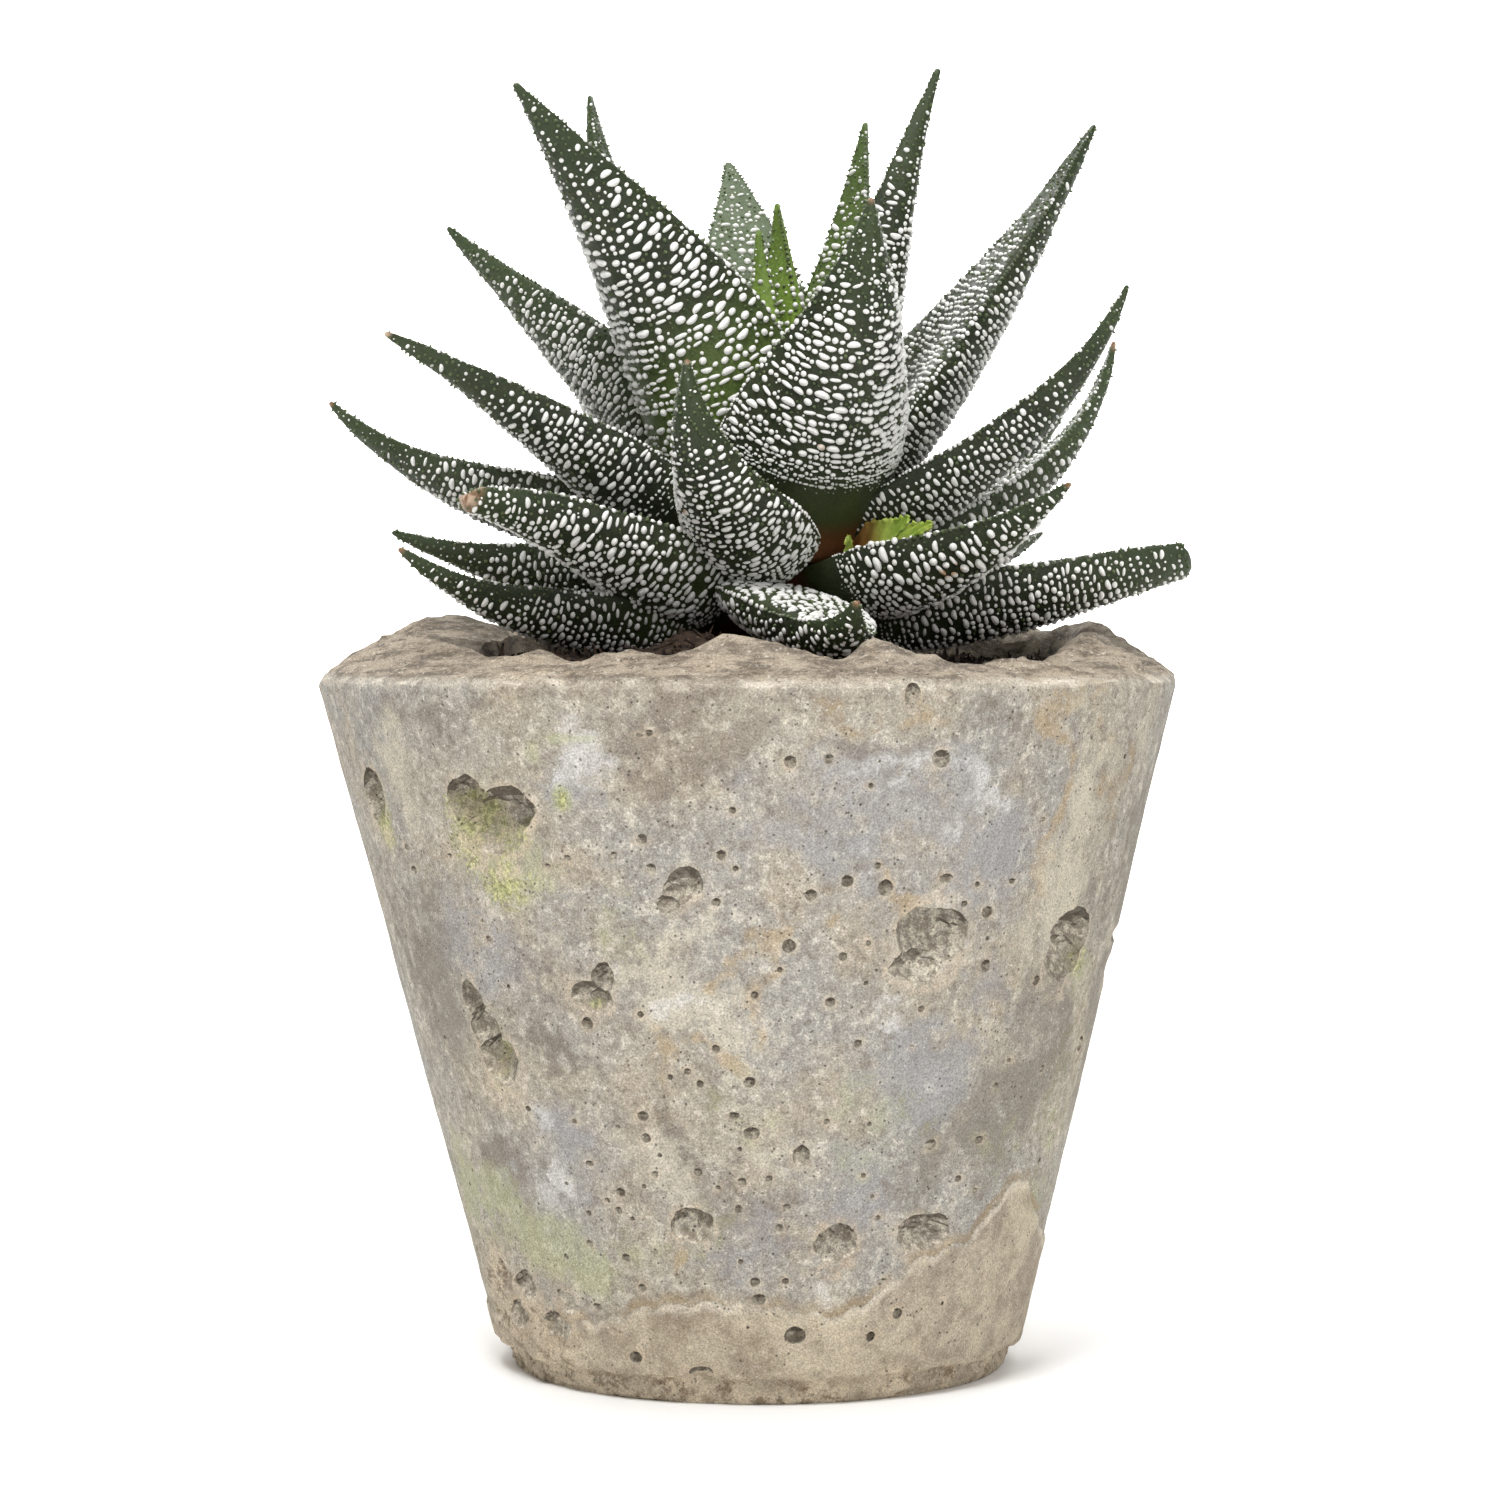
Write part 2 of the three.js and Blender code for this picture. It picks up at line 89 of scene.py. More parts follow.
# Where the wall has crumbled: azimuth, height, half-width in degrees, half-height and strength.
eroded_patches = [
    (208, 11, 13, 9, 1.0), (223, 8, 12, 7.5, 1.0), (258, 4.5, 5, 1.2, 0.6), (208, 4, 8, 3, 0.8),
    (300, 4.5, 9, 1.0, 0.5),
]
POT_AROUND = 400
WALL_ROWS = 124
WALL_START = 4.1
WALL_END = 94.9
LEDGE_HEIGHT = 3.9
SKIN_THICKNESS = 0.45


def direction(azimuth, elevation=0.0):
    """Unit vector for an azimuth and an elevation in degrees; azimuth 270 is the front."""
    a, e = math.radians(azimuth), math.radians(elevation)
    return np.array([math.cos(e) * math.cos(a), math.cos(e) * math.sin(a), math.sin(e)])


def turn_from(middle, azimuth):
    """The turn in degrees from one azimuth to another, -180 to 180."""
    return (azimuth - middle + 180) % 360 - 180


def smooth(low, high, x):
    t = np.clip((np.asarray(x, float) - low) / (high - low), 0, 1)
    return t * t * (3 - 2 * t)


def roughness_at(points, size, octaves=4, seed=0.0):
    """Layered noise at each point, about -1 to 1, whose largest lumps are size millimetres wide."""
    shift = Vector((seed * 7.3, seed * 3.1, seed * 5.7))
    return np.array([noise.fractal(Vector(p) / size + shift, 0.9, 2.0, octaves) for p in points])


def lean_at(z):
    """How far along x the middle of the pot has moved at a height."""
    return pot["lean"] * z / pot["height"]


def wall_radius(z):
    share = (np.asarray(z, float) - pot["foot_height"]) / (pot["height"] - pot["foot_height"])
    return pot["wall_foot"] + (pot["rim"] - pot["wall_foot"]) * share


def lump_at(angle):
    """How far the lump at the left back stands in over the soil."""
    turn = turn_from(pot["lump_azimuth"], np.degrees(angle))
    return pot["lump"] * np.exp(-(turn / pot["lump_spread"]) ** 2)


def cavity_radius(z, angle):
    share = (np.asarray(z, float) - pot["floor"]) / (pot["height"] - pot["floor"])
    cone = pot["floor_radius"] + (pot["lip"] - pot["floor_radius"]) * share
    grown = np.clip((z - pot["lump_foot"]) / (pot["lump_top"] - pot["lump_foot"]), 0, 1)
    return cone - lump_at(angle) * grown


def crest_height(angle):
    azimuths, heights = zip(*crest)
    return np.interp(np.degrees(angle), azimuths, heights, period=360)


def pot_rings():
    """Radius and height of every ring of the pot, from the middle of the foot to the cavity's floor,
    with the share of broken rim in each."""
    angle = np.linspace(0, 2 * math.pi, POT_AROUND, endpoint=False)
    flat = np.ones_like(angle)
    edge = pot["height"] + 0.3 * np.sin(11 * angle + 1) + 0.25 * np.sin(17 * angle)
    top = crest_height(angle)
    ridge = pot["crest"] - 0.3 * lump_at(angle) + 0.8 * np.sin(13 * angle)
    lip = pot["lip"] - lump_at(angle) + 0.6 * np.sin(7 * angle)
    rings = [(flat * r, flat * 0, 0.0) for r in underside]
    rings += [(flat * r, flat * z, broken) for r, z, broken in foot_ring]
    rings += [(flat * wall_radius(z), flat * z, 0.0) for z in np.linspace(WALL_START, WALL_END, WALL_ROWS)]
    for share in (0.35, 0.75):
        z = WALL_END + (edge - WALL_END) * share
        rings.append((wall_radius(z) - 0.25 * share, z, 0.1))
    outer = pot["rim"] - 0.5
    for share in np.linspace(0.03, 1, 18):
        rings.append((outer + (ridge - outer) * share, edge + (top - edge) * share ** 0.8, 1.0))
    for share in np.linspace(0.12, 1, 8):
        rings.append((ridge + (lip - ridge) * share, top - (top - edge) * 0.26 * share ** 2, 1.0))
    low, high = pot["lump_top"], edge + 0.74 * (top - edge)
    for share in np.linspace(0.12, 1, 9):
        r = lip + (cavity_radius(low, angle) - lip) * share
        rings.append((r, high + (low - high) * share, 1.0 - 0.7 * share))
    for z in np.linspace(pot["lump_top"] - 3, pot["floor"], 12):
        rings.append((cavity_radius(z, angle), flat * z, 0.2))
    rings.append((flat * 12, flat * pot["floor"], 0.0))
    return angle, rings


def closed_mesh(name, rings, first, last):
    """A closed mesh through rings of points, fanned to one point at each end."""
    n = len(rings[0])
    points = np.vstack([np.array([first])] + list(rings) + [np.array([last])])
    faces = [(0, 1 + (j + 1) % n, 1 + j) for j in range(n)]
    for i in range(len(rings) - 1):
        a, b = 1 + i * n, 1 + (i + 1) * n
        faces += [(a + j, a + (j + 1) % n, b + (j + 1) % n, b + j) for j in range(n)]
    end, a = len(points) - 1, 1 + (len(rings) - 1) * n
    faces += [(end, a + j, a + (j + 1) % n) for j in range(n)]
    mesh = bpy.data.meshes.new(name)
    mesh.from_pydata(points.tolist(), [], faces)
    mesh.validate()
    return mesh


def add_object(name, mesh):
    thing = bpy.data.objects.new(name, mesh)
    scene.collection.objects.link(thing)
    return thing


def pot_shell():
    """The pot with its rough rim, chipped foot and worn wall, before the holes are cut."""
    angle, rings = pot_rings()
    out = np.stack([np.cos(angle), np.sin(angle), 0 * angle], 1)
    shaped = []
    for r, z, _ in rings:
        ring = out * r[:, None]
        ring[:, 2] = z
        shaped.append(ring)
    points = np.vstack(shaped)
    radial = np.tile(out, (len(rings), 1))
    broken = np.repeat([share for _, _, share in rings], POT_AROUND)
    upper = (broken > 0.5).astype(float)
    wall = (points[:, 2] > 0.2).astype(float)
    fine = roughness_at(points, 5.0, 4, 1)
    broad = roughness_at(points, 34.0, 2, 2)
    ledges = roughness_at(points * [1, 1, 2.6], 8.5, 5, 3)
    gritty = roughness_at(points * [1, 1, 1.8], 2.4, 3, 6)
    swell = wall * (0.09 * fine + 0.32 * broad) + broken * (0.5 * ledges + 0.22 * gritty)
    points += radial * swell[:, None]
    points[:, 2] += upper * (0.8 * ledges + 0.35 * fine + 0.25 * gritty)
    foot = smooth(4.6, 3.0, points[:, 2]) * smooth(0.02, 0.5, points[:, 2])
    chips = 1.3 * np.clip(roughness_at(points, 9.0, 4, 4), 0, 1) + 0.5 * gritty
    points -= radial * (foot * chips)[:, None]
    ledge = smooth(1.8, 0, np.abs(points[:, 2] - LEDGE_HEIGHT)) * wall
    points[:, 2] += ledge * 0.9 * roughness_at(points, 6.0, 4, 9)
    eroded = patch_mask(points, eroded_patches) * wall
    depth = 0.4 + 1.6 * np.clip(roughness_at(points, 4.0, 5, 5), -0.3, 1)
    points -= radial * (eroded * depth)[:, None]
    layer = smooth(0.35, -0.35, above_skin_edge(points)) * (1 - np.minimum(eroded, 1))
    layer *= smooth(3.2, 4.2, points[:, 2])
    points += radial * (SKIN_THICKNESS * layer)[:, None]
    points[:, 0] += lean_at(points[:, 2])
    top = np.array([lean_at(pot["floor"]), 0, pot["floor"]]) * MM
    return closed_mesh("pot", np.split(points * MM, len(rings)), (0, 0, 0), top)


# Large holes: azimuth, height, half-sizes across, up and into the wall, turn in the wall's plane,
# how far the middle stands out of the wall, tip that deepens the upper end, and the cutting round.
# Holes that run together are cut in different rounds.
Hole = namedtuple("Hole", "azimuth z across up deep turn out tip round")
holes = [Hole(*row) for row in (
    (205.8, 79.8, 3.4, 5.6, 2.8, -14, 0.7, 12, 0), (229.1, 80.3, 3.5, 4.2, 3.2, -8, 0.3, 12, 0),
    (236.0, 79.5, 4.2, 3.3, 3.2, 0, 0.3, 12, 1), (232.2, 76.0, 5.6, 5.6, 2.7, 0, 1.0, 26, 2),
    (261.0, 70.3, 2.5, 2.4, 1.8, 0, 0.4, 12, 0), (258.4, 67.7, 1.7, 1.5, 1.2, 0, 0.3, 5, 1),
    (259.8, 69.2, 2.0, 2.0, 1.5, 0, 0.4, 10, 2), (247.3, 57.3, 1.7, 2.8, 1.8, -10, 0.5, 14, 0),
    (243.9, 55.7, 2.3, 1.6, 1.5, 20, 0.4, 10, 1), (245.9, 54.7, 2.4, 2.1, 1.8, 0, 0.6, 16, 2),
    (221.4, 53.4, 2.0, 3.8, 1.7, 24, 0.4, 10, 0), (223.0, 49.2, 2.9, 4.4, 2.1, 24, 0.6, 14, 1),
    (225.0, 45.0, 3.7, 4.8, 2.4, 20, 0.9, 20, 2), (296.9, 62.4, 5.8, 6.0, 3.3, 0, 1.5, 30, 0),
    (295.0, 59.0, 4.4, 3.0, 1.9, 0, 0.8, 20, 1), (325.8, 61.8, 5.2, 4.2, 3.3, 0, 1.2, 28, 0),
    (324.6, 58.2, 4.4, 4.8, 2.2, -8, 0.8, 24, 1), (258.3, 24.4, 2.9, 3.2, 1.9, 0, 0.6, 24, 0),
    (284.4, 21.7, 3.2, 3.9, 2.1, 0, 0.9, 28, 0), (302.2, 22.6, 4.6, 3.4, 2.4, 0, 1.0, 30, 0),
    (353.0, 58.3, 2.2, 2.6, 1.8, 10, 0.2, 0, 0), (223.5, 8.0, 3.4, 3.4, 1.5, 20, 0.7, 20, 0),
    (217.5, 13.5, 2.6, 3.2, 1.4, 30, 0.8, 20, 1), (228.5, 12.5, 2.4, 2.0, 1.1, -30, 0.5, 20, 1),
    (211.0, 9.0, 2.4, 3.0, 1.4, 10, 0.6, 20, 2), (354, 60.5, 8.5, 1.3, 1.5, 0, 0.2, 0, 1),
    (354, 55.6, 7.5, 3.2, 1.2, 8, 0.3, 0, 2),
    (355, 25, 1.2, 2.6, 0.9, 0, 0.4, 0, 0), (354, 19, 1.0, 1.0, 0.8, 0, 0.3, 0, 1),
    (185.5, 78.5, 1.0, 1.6, 0.8, 0, 0.3, 0, 0), (185.5, 24.5, 1.0, 1.6, 0.8, 0, 0.3, 0, 0),
    (20, 62, 4.4, 5.2, 3.4, -10, 0.6, 12, 0), (75, 44, 4.8, 3.8, 3.2, 35, 0.6, 12, 0),
    (118, 72, 3.8, 4.8, 3.4, 5, 0.5, 12, 0), (160, 30, 3.4, 4.6, 2.8, -30, 0.5, 12, 0),
    (123, 68, 3.0, 3.4, 2.6, 5, 0.6, 12, 1), (52, 20, 3.2, 2.6, 2.0, 0, 0.5, 12, 0),
)]
# Bubbles: azimuth, height, and half-sizes across and up. They are cut in a round of their own.
bubbles = [Hole(a, z, x, y, 1.05 * min(x, y), 0, 0.1 * min(x, y), 20, 3) for a, z, x, y in (
    (212.5, 73.8, 0.8, 0.5), (212.9, 70.8, 0.9, 0.6), (223.1, 73.1, 0.6, 0.4), (227.8, 62.3, 0.6, 0.45),
    (241, 72.4, 0.5, 0.4), (244.3, 73.5, 0.55, 0.5), (255.5, 76.2, 0.72, 0.7), (251.3, 74.1, 0.5, 0.45),
    (256.4, 72.4, 0.72, 0.7), (266.1, 74.2, 0.7, 0.7), (268, 72.5, 0.42, 0.42), (265.2, 68.1, 0.6, 0.6),
    (267.8, 80, 0.5, 0.5), (243.8, 51.7, 0.85, 1.0), (252.8, 53.2, 0.5, 0.45), (264.2, 48.8, 0.6, 0.6),
    (259.5, 45.7, 0.5, 0.5), (256.6, 44.9, 0.45, 0.45), (261.4, 44.1, 0.54, 0.53), (269.3, 44.4, 0.78, 0.78),
    (251.4, 39.5, 0.83, 0.78), (270.3, 56, 0.53, 0.53), (229, 39.5, 0.5, 0.4), (256.4, 89.6, 0.55, 0.3),
    (257.7, 89.9, 0.5, 0.45), (275.3, 86.2, 0.84, 0.83), (280.2, 86.5, 0.7, 0.7), (295.4, 86.4, 1.4, 1.26),
    (290.6, 94.6, 1.2, 1.7), (285.8, 83.1, 0.4, 0.4), (278.3, 69, 0.85, 0.84), (283.3, 70.8, 0.86, 0.84),
    (287.5, 72.7, 0.5, 0.5), (288.9, 69.8, 1.1, 1.2), (298.1, 70.8, 1.0, 0.7), (303.3, 69.9, 0.47, 0.4),
    (309.6, 70.1, 0.5, 0.4), (301.5, 67.4, 0.54, 0.46), (286.9, 62.6, 0.4, 0.4), (275.3, 62.4, 0.95, 0.95),
    (283.2, 60.9, 0.65, 0.63), (274, 59.3, 0.42, 0.42), (305.7, 66.2, 0.95, 0.8), (306.9, 58.9, 0.85, 1.05),
    (281.6, 54.9, 0.72, 0.71), (296.4, 53.6, 0.56, 0.5), (286.3, 49.3, 0.63, 0.6), (313.8, 78.1, 0.45, 0.32),
    (313.8, 88.8, 0.4, 0.3), (318.7, 56.4, 0.77, 0.73), (295.5, 48.6, 0.3, 0.3), (315.9, 45.7, 0.47, 0.35),
    (325.7, 43.9, 0.52, 0.51), (313.6, 42.2, 0.6, 0.72), (340.7, 46.2, 1.2, 1.12), (251.5, 36.6, 0.72, 0.68),
    (238.5, 38.3, 0.45, 0.4), (240.2, 32.7, 0.64, 0.44), (252.4, 31.7, 0.52, 0.5), (250.2, 30, 0.35, 0.33),
    (245.6, 29, 0.73, 0.66), (242.7, 27.8, 0.43, 0.4), (244.7, 26.5, 0.55, 0.6), (247.2, 25.5, 0.36, 0.33),
    (238.3, 25.8, 0.46, 0.4), (260.1, 32.2, 0.6, 0.6), (266.6, 39.9, 0.76, 0.54), (269.4, 37.5, 1.09, 0.93),
    (267.4, 35.4, 0.33, 0.33), (267.6, 30.9, 0.66, 0.71), (263.4, 30.1, 0.4, 0.4), (266.9, 27.1, 0.6, 0.88),
    (274, 24.5, 0.6, 0.93), (272.3, 31.4, 0.5, 0.5), (275.3, 27.5, 0.55, 0.55), (266.9, 20.1, 0.38, 0.38),
    (237.3, 21.5, 0.6, 0.6), (244.9, 20, 0.73, 0.66), (269.5, 17.3, 0.7, 0.7), (275.2, 17.4, 0.5, 0.5),
    (270.2, 14.9, 0.94, 0.83), (247.4, 16, 0.66, 0.61), (236.5, 12.8, 0.88, 0.5), (240.5, 9.4, 0.52, 0.45),
    (267.9, 11.2, 0.4, 0.4), (244.2, 6.4, 0.99, 0.95), (258, 4.6, 1.9, 0.9), (277.7, 34.4, 1.24, 1.64),
    (281.9, 38.9, 0.5, 0.5), (288.8, 31.5, 0.41, 0.38), (301.2, 35.1, 0.97, 0.83), (308.3, 30.1, 0.64, 0.5),
    (312.8, 28.2, 0.5, 0.4), (311.8, 35.2, 0.93, 0.56), (290.8, 28.6, 0.35, 0.33), (292.2, 25.6, 0.5, 0.4),
    (294.6, 16.8, 0.55, 0.5), (298.1, 12.3, 0.82, 0.83), (292.6, 9.4, 0.79, 0.78), (277.1, 10, 1.53, 1.38),
    (306.1, 5.9, 0.62, 0.3), (319, 15.8, 0.3, 0.45), (308.8, 13.1, 0.36, 0.5), (302.9, 7.9, 0.35, 0.3),
    (96, 56, 0.9, 0.9), (62, 70, 1.1, 0.9), (138, 50, 0.8, 0.8), (175, 64, 0.9, 0.7), (8, 38, 0.8, 1.0),
    (44, 48, 0.7, 0.7), (105, 30, 1.0, 0.8), (150, 78, 0.8, 0.8), (188, 42, 0.7, 0.6), (84, 84, 0.9, 0.8),
)]
PINHOLES = 190
PINHOLE_SEED = 11


def hole_blob(hole, level, rough):
    """A lumpy pebble on the wall, to be cut from the pot."""
    ball = bmesh.new()
    bmesh.ops.create_icosphere(ball, subdivisions=level, radius=1)
    a = math.radians(hole.azimuth)
    r = float(wall_radius(hole.z)) + hole.out
    middle = Vector((r * math.cos(a) + lean_at(hole.z), r * math.sin(a), hole.z))
    place = Matrix.Translation(middle) @ Matrix.Rotation(a, 4, "Z")
    place = place @ Matrix.Rotation(math.radians(hole.turn), 4, "X")
    place = place @ Matrix.Rotation(math.radians(-hole.tip), 4, "Y")
    place = place @ Matrix.Diagonal((hole.deep, hole.across, hole.up, 1))
    for v in ball.verts:
        swell = 1 + rough * noise.fractal(v.co * 1.3 + middle, 0.9, 2.0, 2)
        swell += 0.3 * rough * noise.fractal(v.co * 5.0 + middle, 0.8, 2.0, 4)
        v.co = (place @ (v.co * swell)) * MM
    return ball


def cutter(name, blobs, materials):
    mesh = bpy.data.meshes.new(name)
    points, faces = [], []
    for blob in blobs:
        start = len(points)
        blob.verts.ensure_lookup_table()
        points += [v.co.copy() for v in blob.verts]
        faces += [[start + v.index for v in f.verts] for f in blob.faces]
        blob.free()
    mesh.from_pydata(points, [], faces)
    for material in materials:
        mesh.materials.append(material)
    mesh.polygons.foreach_set("material_index", [1] * len(mesh.polygons))
    return add_object(name, mesh)


def pinholes():
    """Pinholes all round the wall, clear of each other and of the larger holes."""
    draw = random.Random(PINHOLE_SEED)
    taken = [(h.azimuth, h.z, max(h.across, h.up)) for h in holes + bubbles]
    found = []
    while len(found) < PINHOLES:
        azimuth, z = draw.uniform(0, 360), 6 + 84 * draw.random() ** 0.8
        size = 0.2 + (0.3 if azimuth > 190 else 0.75) * draw.random() ** 2.5
        scale = math.radians(1) * float(wall_radius(z))
        clear = all(math.hypot(turn_from(a, azimuth) * scale, z - h) > r + size + 0.9 for a, h, r in taken)
        if clear:
            taken.append((azimuth, z, size))
            found.append(Hole(azimuth, z, size, size, 1.1 * size, 0, 0, 0, 0))
    return found


def blobs_by_round():
    rounds = [[], [], []]
    for hole in holes:
        level = 4 if max(hole.across, hole.up) > 2.5 else 3
        rounds[hole.round].append(hole_blob(hole, level, 0.16))
    rounds.append([hole_blob(bubble, 2, 0.12) for bubble in bubbles])
    rounds[0] += [hole_blob(pinhole, 1, 0.1) for pinhole in pinholes()]
    return rounds


def cut_holes(thing):
    """Cuts every hole from the pot; the faces that a cut leaves have the second material's number."""
    materials = [bpy.data.materials.new(name) for name in ("clean", "cut_face")]
    for material in materials:
        thing.data.materials.append(material)
    for n, blobs in enumerate(blobs_by_round()):
        tool = cutter(f"holes_{n}", blobs, materials)
        cut = thing.modifiers.new("holes", "BOOLEAN")
        cut.operation = "DIFFERENCE"
        cut.solver = "MANIFOLD"
        cut.object = tool
        bpy.context.view_layer.update()
        mesh = bpy.data.meshes.new_from_object(thing.evaluated_get(bpy.context.evaluated_depsgraph_get()))
        thing.modifiers.remove(cut)
        bpy.data.objects.remove(tool)
        thing.data = mesh
    numbers = np.empty(len(mesh.polygons), int)
    mesh.polygons.foreach_get("material_index", numbers)
    mesh.polygons.foreach_set("material_index", [0] * len(numbers))
    mesh.materials.clear()
    for material in materials:
        bpy.data.materials.remove(material)
    return numbers


def set_smooth(mesh):
    mesh.polygons.foreach_set("use_smooth", [True] * len(mesh.polygons))
    mesh.update()


def store(mesh, name, values, domain="POINT"):
    layer = mesh.attributes.new(name, "FLOAT", domain)
    layer.data.foreach_set("value", np.asarray(values, np.float32))


def vectors(collection, name):
    """One vector of each member of a collection, as rows."""
    flat = np.empty(len(collection) * 3)
    collection.foreach_get(name, flat)
    return flat.reshape(-1, 3)


# Stains on the wall, with painted shade among the dun patches: for each its colour, its greatest
# share, how ragged it is, and its patches as azimuth, height, half-width in degrees, half-height and
# strength.
stains = {
    "lilac": ((0.35, 0.341, 0.343, 1), 0.7, 0.7, [
        (287, 80, 17, 12, 0.9), (303, 72, 12, 9, 0.8), (226, 62, 12, 12, 0.7), (299, 46, 13, 11, 1.0),
        (286, 30, 10, 8, 0.7),
        (268, 25, 10, 6, 0.7), (246, 84, 7, 6, 0.5), (310, 60, 10, 12, 0.5), (238, 34, 9, 10, 0.8),
        (60, 60, 25, 18, 0.7), (130, 40, 22, 16, 0.7), (180, 60, 15, 18, 0.7), (0, 50, 14, 20, 0.6)]),
    "cream": ((0.635, 0.58, 0.465, 1), 0.6, 1.0, [
        (262, 55, 7, 7, 1.0), (258, 63, 9, 5, 0.6), (254, 33, 9, 7, 0.7), (268, 48, 10, 6, 0.5),
        (270, 88, 14, 5, 0.4),
        (240, 66, 7, 6, 0.4), (212, 60, 5, 20, 0.5), (272, 36, 8, 8, 0.5), (283, 17.4, 5, 2.6, 0.9),
        (100, 66, 14, 9, 0.7), (30, 34, 12, 10, 0.6), (165, 50, 10, 12, 0.6)]),
    "bloom": ((0.74, 0.72, 0.70, 1), 0.55, 1.2, [
        (294, 76, 8, 5, 0.2), (285, 72, 5, 4, 0.25), (300, 47, 6, 4, 0.3), (290, 57, 7, 3, 0.4),
        (247.5, 86.5, 3.6, 3.2, 1.0), (290, 84, 7, 5, 0.5), (229.5, 30, 5, 5, 0.6), (300, 81, 5, 5, 0.5),
        (234, 36, 3, 7, 0.5), (283, 17.4, 5, 2.4, 0.5), (262, 56, 5, 4, 0.4), (70, 76, 8, 6, 0.7)]),
    # The two tall dun patches at azimuth 350 and 327 are painted shade down the pot's right flank; the other
    # dun patches are stains.
    "dun": ((0.24, 0.218, 0.182, 1), 0.8, 0.5, [
        (350, 66, 12, 40, 1.0), (327, 60, 20, 40, 0.55), (213, 56, 12, 18, 0.7), (262, 30, 12, 10, 0.5),
        (300, 92, 16, 4, 0.4), (319, 42, 12, 15, 0.9), (303, 34, 9, 10, 0.6),
        (240, 50, 10, 10, 0.5), (256, 38, 10, 6, 0.4), (80, 30, 20, 14, 0.6), (150, 70, 20, 16, 0.5)]),
    "umber": ((0.215, 0.18, 0.145, 1), 0.62, 1.0, [
        (236, 52, 10, 8, 0.55), (210, 60, 9, 16, 0.35), (334, 44, 12, 14, 0.45), (344, 70, 10, 20, 0.4),
        (256, 40, 8, 6, 0.5), (274, 28, 6, 8, 0.5),
        (263, 86, 12, 6, 1.0), (257, 94, 24, 4, 0.9), (287, 89.5, 7, 3, 0.7), (303, 90, 8, 4, 0.5),
        (220.5, 33, 2.6, 8, 1.0), (223, 92, 16, 5, 0.5), (247, 56, 12, 6, 0.3), (233, 62, 6, 8, 0.45),
        (316, 66, 3, 12, 0.4), (262, 30, 7, 5, 0.5), (298, 42, 7, 5, 0.35), (240, 44, 8, 9, 0.35),
        (328, 88, 5, 6, 0.4), (90, 90, 40, 5, 0.8), (10, 90, 20, 5, 0.6), (140, 20, 14, 7, 0.5)]),
    "ochre": ((0.45, 0.335, 0.195, 1), 0.62, 0.8, [
        (269.5, 60, 2.2, 8, 1.0), (313.6, 79, 1.8, 15, 1.0), (328, 80, 1.6, 12, 0.6),
        (290.6, 94.6, 2.2, 2.4, 0.8), (318, 93, 12, 3, 0.5), (286, 94, 14, 2.6, 0.5),
        (255, 49, 8, 4, 0.5), (262, 48.5, 6, 2.4, 0.7), (329, 80, 2.0, 12, 0.5), (281, 66, 3, 3, 0.3),
        (257.6, 22.4, 1.4, 2.0, 1.0), (288.8, 68.2, 1.5, 1.6, 0.8), (240, 94, 5, 3, 0.5),
        (45, 80, 8, 8, 0.5)]),
    "sand": ((0.61, 0.555, 0.435, 1), 0.8, 0.5, [
        (321, 82, 6, 12, 1.0), (318.5, 68, 6, 9, 0.9), (215, 84, 7, 10, 0.6), (268, 92, 10, 3, 0.4),
        (243, 92, 8, 4, 0.5),
        (335, 90, 8, 5, 0.4), (110, 84, 10, 8, 0.5)]),
    "algae": ((0.46, 0.475, 0.265, 1), 0.52, 0.6, [
        (214, 24.5, 14, 7, 0.9), (227, 21, 12, 6, 1.0), (237, 17.5, 7, 4.5, 1.0), (202, 27, 10, 9, 0.8),
        (331, 24, 10, 8, 0.5), (246, 20, 10, 5, 0.5),
        (290, 38, 14, 11, 0.4), (268, 40, 11, 8, 0.4), (250, 64, 9, 8, 0.35), (262, 24, 10, 8, 0.3),
        (336, 35, 14, 17, 0.4),
        (250, 22, 8, 3, 0.35), (318, 34, 12, 10, 0.3), (333, 56, 5, 4, 0.6), (236, 71, 8, 7, 0.7),
        (233, 78, 7, 7, 0.7), (207, 79, 4, 6, 0.8), (245.5, 89, 5.6, 0.9, 1.0),
        (241.5, 87.5, 1.4, 2.8, 0.7),
        (244.7, 81, 1.6, 2.2, 0.9), (224, 46, 5, 6, 0.5), (245, 55, 2.5, 2, 0.6), (118, 70, 8, 7, 0.8),
        (150, 24, 16, 6, 0.6), (20, 58, 7, 7, 0.5), (75, 42, 7, 4, 0.5)]),
    "moss": ((0.30, 0.34, 0.06, 1), 0.75, 1.0, [
        (207, 77.6, 3.0, 5.0, 1.0), (229.5, 79, 5, 4, 1.0), (230.5, 75, 6, 5, 1.0), (232, 70.5, 5, 5, 0.8),
        (236.5, 77, 4, 3, 0.8), (236.5, 68.5, 5, 4, 0.45), (240, 66, 3, 3, 0.3),
        (244.7, 81, 1.0, 1.8, 0.6), (223.5, 47, 2.6, 5, 0.6), (245.5, 54.4, 1.8, 1, 0.7),
        (118, 69, 6, 5, 0.9), (150, 26, 9, 3, 0.5), (20, 59, 4, 4, 0.6), (330, 58.5, 3, 3, 0.5)]),
}
# The height of the lower skin's ragged upper edge round the pot.
skin_azimuths = [20, 60, 100, 140, 170, 195, 215, 235, 241, 248, 261, 273, 283, 286, 290, 295, 301, 309, 313,
                 317, 321, 325, 328, 331, 337, 345]
skin_heights = [14, 10, 16, 12, 9, 8, 9, 10.3, 11.2, 13.2, 14.2, 13.4, 12.2, 12.1, 13.4, 15.5, 19, 20.5, 21.1,
                24, 27.1, 28.5, 28.5, 25.7, 22.2, 19]


def azimuth_of(points):
    return np.degrees(np.arctan2(points[:, 1], points[:, 0] - lean_at(points[:, 2]))) % 360


